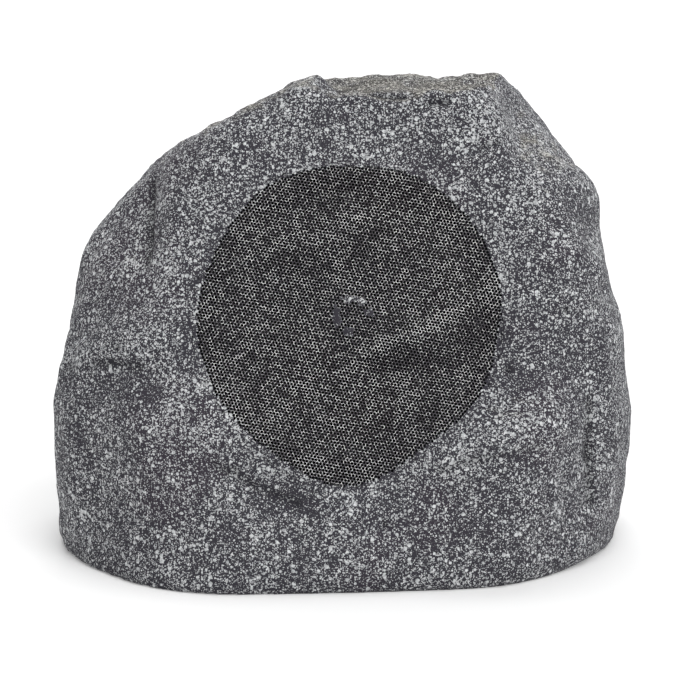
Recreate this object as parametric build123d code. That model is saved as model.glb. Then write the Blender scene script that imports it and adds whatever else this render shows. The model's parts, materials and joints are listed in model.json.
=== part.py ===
from build123d import *
import math
import os

# Rock shaped garden speaker: a moulded boulder with a coaxial driver behind a pressed grille.
# Millimetres, +Z up, front towards -Y, origin on the ground under the middle of the base.

# Block that the rock is cut from
ROCK_WIDTH = 368.0
ROCK_DEPTH = 300.0
ROCK_HEIGHT = 292.0
EDGE_ROUNDING = 5.0
CORE_X = 25.0
CORE_Y = -20.0

# Faces of the rock: heading and slope in degrees, and reach from the base's middle, in half blocks
FACETS = {
    "front": (-92, 33, 0.837),
    "front_foot": (-90, 4, 0.96),
    "front_left_toe": (244, 1, 1.0),
    "front_right_toe": (-76, 2, 0.955),
    "right_toe": (-46, 0, 0.975),
    "front_left_foot": (213, -4, 0.962),
    "front_left_top": (213, 37, 1.02),
    "left_foot": (180, -6, 0.985),
    "left_wall": (180, 12, 0.98),
    "left_shoulder": (172, 56, 1.045),
    "left_top": (168, 74, 0.985),
    "plateau": (-60, 87, 1.035),
    "right_foot": (0, -10, 0.95),
    "right_wall": (0, 16, 1.03),
    "right_shoulder": (-8, 54, 1.108),
    "front_right_foot": (-25, -8, 0.94),
    "back_right": (45, 8, 1.02),
    "back": (92, 10, 0.99),
    "back_left": (140, 8, 1.03),
    "back_top": (95, 57, 0.99),
}
# Lumps and hollows: place in half blocks, then height and width in mm
SWELLS = {
    "left_lobe": ((-0.95, -0.2, 0.36), 9.0, 45.0),
    "left_knee": ((-0.88, -0.2, 0.63), 4.0, 35.0),
    "right_knee": ((0.84, -0.15, 0.8), 11.0, 28.0),
    "right_step": ((0.96, -0.12, 0.53), 6.0, 26.0),
    "right_notch": ((0.62, -0.12, 0.93), -6.0, 18.0),
    "right_lobe": ((0.98, -0.1, 0.31), 4.0, 55.0),
    "peak": ((-0.16, -0.1, 0.98), 6.0, 28.0),
    "top_corner": ((0.55, -0.15, 0.95), 3.0, 36.0),
    "front_right_ledge": ((0.62, -0.8, 0.23), 9.0, 60.0),
    "front_right_hollow": ((0.55, -0.6, 0.47), -5.0, 45.0),
    "front_left_bulge": ((-0.3, -0.85, 0.27), 6.0, 55.0),
}
# Ridges, ledges and creases of the front: height and width in mm, then each one's course,
# as places across in half widths and up in heights; they fade out over MARK_FADE behind the core
FRONT_MARKS = {
    "left_crease": (-4.0, 9.0, ((-0.64, 0.8), (-0.65, 0.73), (-0.67, 0.64))),
    "left_ledge": (4.0, 13.0, ((-0.86, 0.46), (-0.78, 0.49), (-0.67, 0.51))),
    "left_ledge_foot": (-4.0, 13.0, ((-0.86, 0.38), (-0.76, 0.41), (-0.58, 0.43))),
    "left_brow": (3.0, 13.0, ((-0.85, 0.65), (-0.75, 0.64))),
    "low_left_bulge": (4.5, 15.0, ((-0.46, 0.33), (-0.29, 0.34), (-0.13, 0.29))),
    "low_left_fold": (-4.5, 13.0, ((-0.44, 0.26), (-0.29, 0.22), (-0.12, 0.17))),
    "upper_ridge": (3.0, 13.0, ((-0.42, 0.65), (-0.22, 0.7), (0.02, 0.72), (0.2, 0.84))),
    "upper_hollow": (-3.0, 12.0, ((-0.22, 0.63), (-0.07, 0.65), (0.1, 0.65))),
    "grille_ridge": (4.0, 11.0, ((0.08, 0.49), (0.33, 0.54), (0.59, 0.65), (0.67, 0.67))),
    "grille_hollow": (-3.5, 13.0, ((0.12, 0.44), (0.3, 0.46), (0.5, 0.5))),
    "low_right_ledge": (5.0, 14.0, ((0.32, 0.27), (0.51, 0.32), (0.74, 0.34))),
    "low_right_foot": (-4.5, 18.0, ((0.19, 0.17), (0.37, 0.18), (0.51, 0.2))),
    "right_hollow": (-4.5, 18.0, ((0.53, 0.4), (0.66, 0.43), (0.76, 0.42))),
    "right_facet": (3.5, 10.0, ((0.9, 0.47), (0.91, 0.32), (0.89, 0.14))),
    "right_gully": (-4.0, 10.0, ((0.83, 0.37), (0.84, 0.23), (0.82, 0.15))),
    "right_nook": (-3.0, 12.0, ((0.79, 0.74), (0.84, 0.7))),
    "right_valley": (-5.0, 11.0, ((0.6, 0.95), (0.6, 0.85), (0.62, 0.79))),
    "shoulder": (3.0, 14.0, ((0.71, 0.86), (0.78, 0.81))),
}
MARK_FADE = 8.0
# Sloping beds that ripple the whole skin
STRATA_RISE = 25.0
STRATA_SPACING = 91.5
STRATA_DEPTH = 0.8
STRATA_LEAN = 0.3
STRATA_START = 37.0
# Net of flat chips that the skin is made of: rows up the rock, and corners round it, closer in front
SKIN_LEVELS = 30
SKIN_POINTS = 56
SKIN_CROWDING = 0.35

# Housing
WALL = 5.0
GRILLE_X = 6.0
GRILLE_Z = 160.5
DRIVER_TILT = 17.0
BAFFLE_DEPTH = 36.0
BAFFLE_THICKNESS = 8.0
WELL_CLEARANCE = 3.0

# Grille: a near round outline, with its edge's departures from round every 30 degrees
GRILLE_RADIUS = 94.0
GRILLE_EDGE = (-1.5, 2.0, 4.0, 2.0, 4.0, -1.0, 0.0, -0.5, 1.0, 8.0, -3.0, -2.0)
GRILLE_RECESS = 1.2
GRILLE_SHEET = 1.2
GRILLE_LIP = 2.2
GRILLE_CLEARANCE = 0.4
GRILLE_FRAME = 7.0
GRILLE_FRAME_DEPTH = 14.0
PATCH_POINTS = 17
HOLE_PITCH = 18.0
HOLE_RADIUS = 6.0
HOLE_MARGIN = 12.0
HOLE_ROW_ANGLE = -10.0
BADGE_X = 1.9
BADGE_Y = 2.9
BADGE_INNER = 8.0
BADGE_OUTER = 11.6
BADGE_RISE = 1.0
SEAL_THICKNESS = 2.5
SEAL_WIDTH = 4.0

# Base
PLATE_THICKNESS = 4.0
PLATE_CLEARANCE = 0.3
BASE_GASKET = 1.5
FLANGE_WIDTH = 14.0
FLANGE_THICKNESS = 8.0
BASE_SCREW_COUNT = 8

# Screws
SCREW_RADIUS = 1.8
SCREW_HEAD_RADIUS = 3.4
SCREW_HEAD_HEIGHT = 2.2
SCREW_CLEARANCE = 0.3
THREAD_CLEARANCE = 0.05
SCREW_BITE = 6.0
HEAD_SINK = 0.5

# Woofer
BASKET_RADIUS = 83.0
BASKET_FLANGE = 4.0
WOOFER_GASKET = 1.5
CUTOUT_RADIUS = 73.0
CUTOUT_CLEARANCE = 1.0
BASKET_WALL = 2.2
BASKET_DEPTH = 46.0
SPIDER_LEDGE_DEPTH = 28.0
SPIDER_RADIUS = 50.0
BASKET_NECK_RADIUS = 46.0
BASKET_FLOOR_HOLE = 20.0
WINDOW_COUNT = 6
WINDOW_ANGLE = 40.0
WINDOW_TOP = 4.0
WINDOW_BOTTOM = 23.0
WOOFER_SCREW_COUNT = 6
WOOFER_BOLT_CIRCLE = 79.0
CONE_RADIUS = 58.0
CONE_RIM = 5.0
CONE_RIM_DEPTH = 3.0
CONE_THICKNESS = 1.2
CONE_NECK = 5.0
CONE_NECK_DEPTH = 12.0
CONE_TRAVEL = 3.0
SURROUND_THICKNESS = 0.8
SURROUND_LIP = 5.0
DUST_CAP_RADIUS = 22.0
DUST_CAP_RISE = 7.0
DUST_CAP_THICKNESS = 0.8
GLUE_GAP = 0.3
COIL_RADIUS = 12.75
FORMER_THICKNESS = 0.4
COIL_THICKNESS = 0.6
COIL_LENGTH = 15.0
GAP_CLEARANCE = 0.45
FORMER_TAIL = 3.0
SPIDER_THICKNESS = 0.8
SPIDER_RIDGES = 3
SPIDER_RIDGE_HEIGHT = 3.0
SPIDER_CUFF = 7.0
TOP_PLATE_RADIUS = 40.0
TOP_PLATE_THICKNESS = 5.0
MAGNET_RADIUS = 45.0
MAGNET_BORE = 24.0
MAGNET_THICKNESS = 15.0
YOKE_RADIUS = 43.0
YOKE_THICKNESS = 6.0
POLE_VENT = 4.0
STRIP_THICKNESS = 4.0
STRIP_HEIGHT = 10.0
STRIP_ANGLE = 26.0

# Tweeter on its bridge
BRIDGE_WIDTH = 16.0
BRIDGE_THICKNESS = 4.0
BRIDGE_FOOT_RADIUS = 3.4
TWEETER_CUP_RADIUS = 17.0
TWEETER_CUP_WALL = 3.6
TWEETER_CUP_FLOOR = 2.0
TWEETER_MAGNET_RADIUS = 11.0
TWEETER_MAGNET_THICKNESS = 3.5
TWEETER_POLE_THICKNESS = 2.0
TWEETER_GAP = 0.9
TWEETER_FOIL = 0.4
TWEETER_DOME_RISE = 4.5
TWEETER_SKIRT = 2.0
TWEETER_FACEPLATE = 3.0
TWEETER_MOUTH_FLARE = 4.0
TWEETER_CLEARANCE = 0.2
TWEETER_HOLDER_WALL = 3.5

# Crossover on the base plate
BOARD_X = 0.0
BOARD_Y = 20.0
BOARD_LENGTH = 96.0
BOARD_WIDTH = 62.0
BOARD_THICKNESS = 1.6
POST_HEIGHT = 10.0
POST_RADIUS = 4.0
POST_INSET = 6.0
BOBBIN_RADIUS = 17.0
BOBBIN_CORE = 8.0
BOBBIN_HEIGHT = 18.0
BOBBIN_CHEEK = 2.0
CAPACITOR_SIZE = (26.0, 12.0, 21.0)
RESISTOR_SIZE = (34.0, 9.0, 9.0)
TERMINAL_SIZE = (22.0, 12.0, 11.0)
TERMINAL_POLES = 2
TERMINAL_HOLE = 2.2
PART_ROUNDING = 1.5

# Lead from the board to the driver
LEAD_RADIUS = 2.2
LEAD_RISE = 24.0
LEAD_DROP = 22.0

# Wadding on the rear wall
PAD_THICKNESS = 18.0
PAD_GAP = 0.3
PAD_FRONT = 45.0
PAD_LOW = 70.0
PAD_HIGH = 215.0
PAD_HALF_WIDTH = 105.0

# Cable gland in the rear wall
GLAND_X = 60.0
GLAND_Z = 40.0
GLAND_RECESS = 24.0
GLAND_RECESS_RADIUS = 20.0
GLAND_WALL = 6.0
GLAND_THREAD = 8.0
GLAND_BORE = 5.6
GLAND_FLATS = 22.0
GLAND_COLLAR = 5.0
GLAND_WASHER = 1.5
GLAND_NUT = 5.0
GLAND_TAIL = 8.0
GLAND_SPIGOT = 8.0
GLAND_CLEARANCE = 0.15
CABLE_RADIUS = 3.6
SEAL_COLLAR = 3.0
CAP_WALL = 2.4
CAP_END = 3.0
CAP_NOSE = 3.5
CAP_MOUTH_CLEARANCE = 1.2

FAR = ROCK_WIDTH
TILT = math.radians(DRIVER_TILT)
AXIS = Vector(0, -math.cos(TILT), math.sin(TILT))


# The rock's skin

def facet_planes():
    """Each face as a unit normal and its distance from the origin."""
    planes = []
    for heading, slope, reach in FACETS.values():
        turn = math.radians(heading)
        lean = math.radians(slope)
        normal = Vector(
            math.cos(lean) * math.cos(turn) * 2 / ROCK_WIDTH,
            math.cos(lean) * math.sin(turn) * 2 / ROCK_DEPTH,
            math.sin(lean) / ROCK_HEIGHT,
        )
        unit = normal.normalized()
        planes.append((unit.X, unit.Y, unit.Z, reach / normal.length))
    return planes


def swell_places():
    """Each lump's centre, height and width in mm."""
    places = []
    for (across, back, up), height, width in SWELLS.values():
        places.append((across * ROCK_WIDTH / 2, back * ROCK_DEPTH / 2, up * ROCK_HEIGHT, height, width))
    return places


def mark_courses():
    """Each front mark's height and width, and the corners of its course, in mm."""
    courses = []
    for height, width, places in FRONT_MARKS.values():
        courses.append((height, width, [(across * ROCK_WIDTH / 2, up * ROCK_HEIGHT) for across, up in places]))
    return courses


PLANES = facet_planes()
LUMPS = swell_places()
COURSES = mark_courses()


def course_distance(x, z, course):
    """How far a place lies from a course of straight runs, as seen from the front."""
    nearest = FAR
    for (ax, az), (bx, bz) in zip(course, course[1:]):
        share = ((x - ax) * (bx - ax) + (z - az) * (bz - az)) / ((bx - ax) ** 2 + (bz - az) ** 2)
        share = min(1.0, max(0.0, share))
        nearest = min(nearest, math.hypot(x - ax - share * (bx - ax), z - az - share * (bz - az)))
    return nearest


def mark_height(x, y, z):
    """How far the front's marks raise the skin at a point."""
    front = 1 / (1 + math.exp((y - CORE_Y) / MARK_FADE))
    raised = 0.0
    for height, width, course in COURSES:
        raised += height * math.exp(-((course_distance(x, z, course) / width) ** 2))
    return front * raised


def skin_value(x, y, z):
    """Distance outside the skin, below zero inside: rounded facets, lumps, marks and sloping beds."""
    sides = [a * x + b * y + c * z - d for a, b, c, d in PLANES]
    most = max(sides)
    value = most + EDGE_ROUNDING * math.log(sum(math.exp((side - most) / EDGE_ROUNDING) for side in sides))
    for cx, cy, cz, height, width in LUMPS:
        value -= height * math.exp(-((x - cx) ** 2 + (y - cy) ** 2 + (z - cz) ** 2) / width**2)
    value -= mark_height(x, y, z)
    rise = math.radians(STRATA_RISE)
    bed = (z - STRATA_START) * math.cos(rise) - x * math.sin(rise)
    phase = 2 * math.pi * bed / STRATA_SPACING
    return value - STRATA_DEPTH * (math.cos(phase) + STRATA_LEAN * math.sin(2 * phase))


def skin_reach(start, heading, inset=0.0):
    """How far along a heading the surface inset mm below the skin lies, by halving."""
    near, far = 0.0, FAR
    for _ in range(30):
        middle = (near + far) / 2
        if skin_value(*(start + heading * middle)) < -inset:
            near = middle
        else:
            far = middle
    return near


def section_point(angle, z, inset):
    heading = Vector(math.cos(angle), math.sin(angle), 0)
    start = Vector(CORE_X, CORE_Y, z)
    return start + heading * skin_reach(start, heading, inset)


def section(z, inset):
    """Corners of the rock's outline at one height, inset mm inside its skin."""
    turns = [2 * math.pi * i / SKIN_POINTS for i in range(SKIN_POINTS)]
    return [section_point(turn - SKIN_CROWDING * math.cos(turn), z, inset) for turn in turns]


def chip(*corners):
    return Face(Wire.make_polygon(corners))


def skin_solid(inset, low):
    """The rock from a height up to its plateau as a net of chips, inset mm inside its skin."""
    rise = (ROCK_HEIGHT - inset - low) / SKIN_LEVELS
    rows = [section(low + rise * i, inset) for i in range(SKIN_LEVELS + 1)]
    chips = [chip(*rows[0]), chip(*rows[-1])]
    for lower, upper in zip(rows, rows[1:]):
        for i in range(SKIN_POINTS):
            chips.append(chip(lower[i - 1], lower[i], upper[i]))
            chips.append(chip(lower[i - 1], upper[i], upper[i - 1]))
    return Solid(Shell(chips))


def section_prism(inset, low, high):
    """A straight sided slice with the outline of the rock's foot."""
    return Pos(0, 0, low) * extrude(chip(*section(0, inset)), high - low)


# Frames that the pieces are built in

def driver_plane():
    """Local frame of the driver: origin on the baffle's face, +Z out along the driver's axis."""
    inside = Vector(GRILLE_X, CORE_Y, GRILLE_Z)
    front = Vector(0, -1, 0)
    centre = inside + front * skin_reach(inside, front)
    return Plane(centre - AXIS * BAFFLE_DEPTH, x_dir=(1, 0, 0), z_dir=AXIS)


def gland_plane():
    """Local frame of the gland: origin on its seat in the rear wall, +Z out of the rock."""
    inside = Vector(GLAND_X, CORE_Y, GLAND_Z)
    rear = Vector(0, 1, 0)
    seat = skin_reach(inside, rear) - GLAND_RECESS
    return Plane(inside + rear * seat, x_dir=(-1, 0, 0), z_dir=(0, 1, 0))


DRIVER = driver_plane()
GLAND = gland_plane()


# Shapes used by many pieces

def turned(*corners):
    """A solid turned about the local Z axis from (radius, height) corners."""
    outline = Polyline(*[(radius, 0, height) for radius, height in corners], close=True)
    return revolve(make_face(outline), Axis.Z)


def ring(inner, outer, low, high):
    return turned((inner, low), (outer, low), (outer, high), (inner, high))


def disc(radius, low, high):
    return Pos(0, 0, low) * extrude(Circle(radius), high - low)


def hexagon(flats, low, high):
    return Pos(0, 0, low) * extrude(RegularPolygon(flats / 2, 6, major_radius=False), high - low)


def block(size, x, y, low):
    """A moulded block with rounded upright edges, standing on a height."""
    length, width, height = size
    return Pos(x, y, low) * extrude(RectangleRounded(length, width, PART_ROUNDING), height)


def screw(seat, bite):
    """A pan head screw: its head stands on seat, its shank reaches down to bite."""
    head = disc(SCREW_HEAD_RADIUS, seat, seat + SCREW_HEAD_HEIGHT)
    return head + disc(SCREW_RADIUS, bite, seat)


def dome_arc(radius, rise, base):
    """Arc from a dome's edge up to its crown, about a centre on the local Z axis."""
    ball = (radius**2 + rise**2) / (2 * rise)
    centre = base + rise - ball
    half = math.asin(radius / ball) / 2
    middle = (ball * math.sin(half), 0, centre + ball * math.cos(half))
    return ThreePointArc((radius, 0, base), middle, (0, 0, base + rise))


def bolt_circle(radius, count, start=0.0):
    """Places evenly round a circle."""
    return [
        (radius * math.cos(start + 2 * math.pi * i / count), radius * math.sin(start + 2 * math.pi * i / count))
        for i in range(count)
    ]


# Grille opening

def grille_outline(inset):
    """The opening's edge, moved in by inset."""
    points = []
    for i, extra in enumerate(GRILLE_EDGE):
        angle = 2 * math.pi * i / len(GRILLE_EDGE)
        radius = GRILLE_RADIUS + extra - inset
        points.append((radius * math.cos(angle), radius * math.sin(angle)))
    return make_face(Spline(*points, periodic=True))


def grille_prism(inset, low):
    return Pos(0, 0, low) * extrude(grille_outline(inset), BAFFLE_DEPTH + FAR / 4 - low)


PATCH_RADIUS = GRILLE_RADIUS + max(GRILLE_EDGE) + GRILLE_FRAME


def patch_point(i, j):
    """A point of the rock's front, in the driver's frame; past the frame it keeps the frame's height."""
    u = PATCH_RADIUS * (2 * i / (PATCH_POINTS - 1) - 1)
    v = PATCH_RADIUS * (2 * j / (PATCH_POINTS - 1) - 1)
    shrink = min(1.0, PATCH_RADIUS / max(math.hypot(u, v), 1.0))
    start = DRIVER.from_local_coords(Vector(u * shrink, v * shrink, 0))
    return Vector(u, v, skin_reach(start, AXIS))


PATCH = [[patch_point(i, j) for j in range(PATCH_POINTS)] for i in range(PATCH_POINTS)]


def front_slab(depth, thickness):
    """A sheet that follows the rock's front, its face depth mm below the skin."""
    rows = [[point - Vector(0, 0, depth + thickness) for point in row] for row in PATCH]
    return Solid.extrude(Face.make_surface_from_array_of_points(rows), Vector(0, 0, thickness))


SEAT_DEPTH = GRILLE_RECESS + GRILLE_SHEET + SEAL_THICKNESS
WELL_RADIUS = BASKET_RADIUS + WELL_CLEARANCE


def hole_places():
    """Rows of holes about the badge seat, clear of its ring and inside the outline."""
    limit = GRILLE_RADIUS + min(GRILLE_EDGE) - HOLE_MARGIN
    reach = int(limit / HOLE_PITCH) + 2
    turn = math.radians(HOLE_ROW_ANGLE)
    places = []
    for row in range(-reach, reach + 1):
        for column in range(-reach, reach + 1):
            x = HOLE_PITCH * (column + row / 2)
            y = HOLE_PITCH * row * math.sqrt(3) / 2
            distance = math.hypot(x, y)
            clear = distance - HOLE_RADIUS > BADGE_OUTER or distance + HOLE_RADIUS < BADGE_INNER
            across = BADGE_X + x * math.cos(turn) - y * math.sin(turn)
            up = BADGE_Y + x * math.sin(turn) + y * math.cos(turn)
            if clear and math.hypot(across, up) < limit:
                places.append((across, up))
    return places


def make_grille():
    """Pressed sheet with a turned back lip, a raised badge seat and rows of holes."""
    rim = grille_prism(GRILLE_CLEARANCE, 0)
    inside = grille_prism(GRILLE_CLEARANCE + GRILLE_SHEET, 0)
    sheet = front_slab(GRILLE_RECESS, GRILLE_SHEET) & rim
    lip = front_slab(GRILLE_RECESS, GRILLE_SHEET + GRILLE_LIP) & (rim - inside)
    badge = front_slab(GRILLE_RECESS - BADGE_RISE, BADGE_RISE + GRILLE_SHEET / 2)
    badge = badge & Pos(BADGE_X, BADGE_Y, 0) * ring(BADGE_INNER, BADGE_OUTER, 0, BAFFLE_DEPTH + FAR / 4)
    hole = extrude(Rot(0, 0, HOLE_ROW_ANGLE) * RegularPolygon(HOLE_RADIUS, 6), BAFFLE_DEPTH + FAR / 4)
    holes = [Pos(x, y, 0) * hole for x, y in hole_places()]
    return DRIVER * ((sheet + lip + badge) - holes)


def make_grille_seal():
    outer = GRILLE_CLEARANCE + GRILLE_SHEET + GRILLE_CLEARANCE
    band = grille_prism(outer, 0) - grille_prism(outer + SEAL_WIDTH, 0)
    return DRIVER * (front_slab(GRILLE_RECESS + GRILLE_SHEET, SEAL_THICKNESS) & band)


# Housing

FLANGE_LOW = PLATE_THICKNESS + BASE_GASKET
FLANGE_HIGH = FLANGE_LOW + FLANGE_THICKNESS
SCREW_HOLE = SCREW_RADIUS + SCREW_CLEARANCE
PILOT_HOLE = SCREW_RADIUS + THREAD_CLEARANCE


def base_screw_places():
    inset = WALL + FLANGE_WIDTH / 2
    return [section_point(2 * math.pi * (i + 0.5) / BASE_SCREW_COUNT, 0, inset) for i in range(BASE_SCREW_COUNT)]


def make_rock_shell():
    """Hollow moulded rock: base flange, driver well with its baffle, grille seat and gland pocket."""
    cavity = skin_solid(WALL, FLANGE_HIGH)
    cavity += section_prism(WALL + FLANGE_WIDTH, FLANGE_LOW, FLANGE_HIGH)
    cavity += section_prism(WALL, 0, FLANGE_LOW)
    well_wall = disc(WELL_RADIUS + WALL, -BAFFLE_THICKNESS, FAR / 2)
    frame = grille_prism(-GRILLE_FRAME, BAFFLE_DEPTH - GRILLE_FRAME_DEPTH)
    gland_wall = disc(GLAND_RECESS_RADIUS + WALL, -GLAND_WALL, FAR / 2)
    cavity -= [DRIVER * well_wall, DRIVER * frame, GLAND * gland_wall]
    shell = skin_solid(0, 0) - cavity
    seat = front_slab(SEAT_DEPTH - FAR / 4, FAR / 4) & grille_prism(0, 0)
    well = disc(WELL_RADIUS, 0, FAR / 2)
    cutout = disc(CUTOUT_RADIUS, -BAFFLE_THICKNESS, 0)
    pilots = [Pos(x, y, -SCREW_BITE) * disc(PILOT_HOLE, 0, SCREW_BITE) for x, y in driver_bolts()]
    shell -= [DRIVER * cut for cut in (seat, well, cutout, *pilots)]
    shell -= [GLAND * disc(GLAND_RECESS_RADIUS, 0, FAR / 2)]
    shell -= [GLAND * disc(GLAND_THREAD + GLAND_CLEARANCE, -GLAND_WALL, 0)]
    shell -= [Pos(p.X, p.Y, FLANGE_LOW) * disc(PILOT_HOLE, 0, SCREW_BITE) for p in base_screw_places()]
    return shell


def make_base_plate():
    plate = section_prism(WALL + PLATE_CLEARANCE, 0, PLATE_THICKNESS)
    sink = SCREW_HEAD_HEIGHT + HEAD_SINK
    for place in base_screw_places():
        hole = disc(SCREW_HOLE, 0, PLATE_THICKNESS) + disc(SCREW_HEAD_RADIUS + SCREW_CLEARANCE, 0, sink)
        plate -= Pos(place.X, place.Y, 0) * hole
    return plate


def make_base_gasket():
    band = section_prism(WALL + PLATE_CLEARANCE, PLATE_THICKNESS, FLANGE_LOW)
    band -= section_prism(WALL + FLANGE_WIDTH, PLATE_THICKNESS, FLANGE_LOW)
    hole = disc(SCREW_HOLE, PLATE_THICKNESS, FLANGE_LOW)
    return band - [Pos(place.X, place.Y, 0) * hole for place in base_screw_places()]


def make_base_screws():
    seat = SCREW_HEAD_HEIGHT + HEAD_SINK
    upright = Rot(180, 0, 0) * screw(-seat, -(FLANGE_LOW + SCREW_BITE - SCREW_CLEARANCE))
    return [Pos(place.X, place.Y, 0) * upright for place in base_screw_places()]


# Woofer, in the driver's frame

FLANGE_FACE = WOOFER_GASKET + BASKET_FLANGE
SKIRT_RADIUS = CUTOUT_RADIUS - CUTOUT_CLEARANCE
FORMER_OUTER = COIL_RADIUS + FORMER_THICKNESS
COIL_OUTER = FORMER_OUTER + COIL_THICKNESS
POLE_RADIUS = COIL_RADIUS - GAP_CLEARANCE
PLATE_BACK = -BASKET_DEPTH - TOP_PLATE_THICKNESS
MAGNET_BACK = PLATE_BACK - MAGNET_THICKNESS
YOKE_BACK = MAGNET_BACK - YOKE_THICKNESS
GAP_MIDDLE = -BASKET_DEPTH - TOP_PLATE_THICKNESS / 2
COIL_BACK = GAP_MIDDLE - COIL_LENGTH / 2
ROLL_INNER = CONE_RADIUS
ROLL_OUTER = SKIRT_RADIUS - BASKET_WALL
SURROUND_OUTER = ROLL_OUTER + SURROUND_LIP
ROLL_TOP = FLANGE_FACE + (ROLL_OUTER - ROLL_INNER) / 2 + SURROUND_THICKNESS
SURROUND_FOOT = -CONE_RIM_DEPTH + GLUE_GAP


def woofer_bolts():
    return bolt_circle(WOOFER_BOLT_CIRCLE, WOOFER_SCREW_COUNT, math.pi / WOOFER_SCREW_COUNT)


def bridge_bolts():
    return bolt_circle(WOOFER_BOLT_CIRCLE, 2)


def driver_bolts():
    return woofer_bolts() + bridge_bolts()


def make_woofer_gasket():
    band = ring(CUTOUT_RADIUS, BASKET_RADIUS, 0, WOOFER_GASKET)
    return DRIVER * (band - [Pos(x, y, 0) * disc(SCREW_HOLE, 0, WOOFER_GASKET) for x, y in driver_bolts()])


def make_woofer_basket():
    """Pressed frame: bolt flange, open skirt, spider ledge and the floor that carries the magnet."""
    ledge = -SPIDER_LEDGE_DEPTH
    frame = turned(
        (ROLL_OUTER, FLANGE_FACE),
        (BASKET_RADIUS, FLANGE_FACE),
        (BASKET_RADIUS, WOOFER_GASKET),
        (SKIRT_RADIUS, WOOFER_GASKET),
        (SPIDER_RADIUS + BASKET_WALL, ledge - BASKET_WALL),
        (BASKET_NECK_RADIUS, ledge - BASKET_WALL),
        (BASKET_NECK_RADIUS, -BASKET_DEPTH),
        (BASKET_FLOOR_HOLE, -BASKET_DEPTH),
        (BASKET_FLOOR_HOLE, -BASKET_DEPTH + BASKET_WALL),
        (BASKET_NECK_RADIUS - BASKET_WALL, -BASKET_DEPTH + BASKET_WALL),
        (BASKET_NECK_RADIUS - BASKET_WALL, ledge),
        (SPIDER_RADIUS, ledge),
        (ROLL_OUTER, WOOFER_GASKET),
    )
    tool = Polyline(
        (BASKET_NECK_RADIUS, 0, -WINDOW_BOTTOM),
        (SKIRT_RADIUS + CUTOUT_CLEARANCE, 0, -WINDOW_BOTTOM),
        (SKIRT_RADIUS + CUTOUT_CLEARANCE, 0, -WINDOW_TOP),
        (BASKET_NECK_RADIUS, 0, -WINDOW_TOP),
        close=True,
    )
    window = revolve(make_face(tool), Axis.Z, WINDOW_ANGLE)
    windows = [Rot(0, 0, 360 * i / WINDOW_COUNT) * window for i in range(WINDOW_COUNT)]
    holes = [Pos(x, y, WOOFER_GASKET) * disc(SCREW_HOLE, 0, BASKET_FLANGE) for x, y in driver_bolts()]
    return DRIVER * (frame - windows - holes)


def make_woofer_screws():
    fastener = screw(FLANGE_FACE, -SCREW_BITE + SCREW_CLEARANCE)
    return [DRIVER * Pos(x, y, 0) * fastener for x, y in woofer_bolts()]


def make_woofer_surround():
    """Half roll of rubber: its lip lies on the flange, its inner leg drops to the cone's rim."""
    middle = (ROLL_INNER + ROLL_OUTER) / 2
    outer = (ROLL_OUTER - ROLL_INNER) / 2
    inner = outer - SURROUND_THICKNESS
    base = FLANGE_FACE + SURROUND_THICKNESS
    foot_radius = CONE_RADIUS - CONE_RIM
    line = Polyline(
        (middle + inner, 0, FLANGE_FACE),
        (SURROUND_OUTER, 0, FLANGE_FACE),
        (SURROUND_OUTER, 0, base),
        (middle + outer, 0, base),
    )
    line += ThreePointArc((middle + outer, 0, base), (middle, 0, base + outer), (middle - outer, 0, base))
    line += Polyline(
        (middle - outer, 0, base),
        (middle - outer, 0, SURROUND_FOOT + SURROUND_THICKNESS),
        (foot_radius, 0, SURROUND_FOOT + SURROUND_THICKNESS),
        (foot_radius, 0, SURROUND_FOOT),
        (middle - inner, 0, SURROUND_FOOT),
        (middle - inner, 0, FLANGE_FACE),
    )
    line += ThreePointArc(
        (middle - inner, 0, FLANGE_FACE), (middle, 0, FLANGE_FACE + inner), (middle + inner, 0, FLANGE_FACE)
    )
    return DRIVER * revolve(make_face(line), Axis.Z)


def cone_height(radius):
    """Front face of the cone between its neck and its rim."""
    low = -CONE_NECK_DEPTH - CONE_NECK + CONE_THICKNESS
    share = (radius - FORMER_OUTER) / (CONE_RADIUS - CONE_RIM - FORMER_OUTER)
    return low + share * (-CONE_RIM_DEPTH - low)


def make_woofer_cone():
    """Paper cone with a flat rim and a short neck that grips the former."""
    rim = -CONE_RIM_DEPTH
    neck = -CONE_NECK_DEPTH - CONE_NECK
    inner_rim = CONE_RADIUS - CONE_RIM
    return DRIVER * turned(
        (FORMER_OUTER, cone_height(FORMER_OUTER)),
        (inner_rim, rim),
        (CONE_RADIUS, rim),
        (CONE_RADIUS, rim - CONE_THICKNESS),
        (inner_rim, rim - CONE_THICKNESS),
        (FORMER_OUTER + CONE_THICKNESS, cone_height(FORMER_OUTER + CONE_THICKNESS) - CONE_THICKNESS),
        (FORMER_OUTER + CONE_THICKNESS, neck - CONE_THICKNESS),
        (FORMER_OUTER, neck - CONE_THICKNESS),
    )


def make_dust_cap():
    """Shallow dome whose edge rests on the cone."""
    edge = cone_height(DUST_CAP_RADIUS) + GLUE_GAP
    top = edge + DUST_CAP_RISE
    inner = DUST_CAP_RADIUS - DUST_CAP_THICKNESS
    line = dome_arc(DUST_CAP_RADIUS, DUST_CAP_RISE, edge)
    line += Line((0, 0, top), (0, 0, top - DUST_CAP_THICKNESS))
    line += dome_arc(inner, DUST_CAP_RISE - DUST_CAP_THICKNESS, edge)
    line += Line((inner, 0, edge), (DUST_CAP_RADIUS, 0, edge))
    return DRIVER * revolve(make_face(line), Axis.Z)


def make_voice_coil_former():
    return DRIVER * ring(COIL_RADIUS, FORMER_OUTER, COIL_BACK - FORMER_TAIL, -CONE_NECK_DEPTH - CONE_NECK)


def make_voice_coil():
    return DRIVER * ring(FORMER_OUTER, COIL_OUTER, COIL_BACK, COIL_BACK + COIL_LENGTH)


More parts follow.
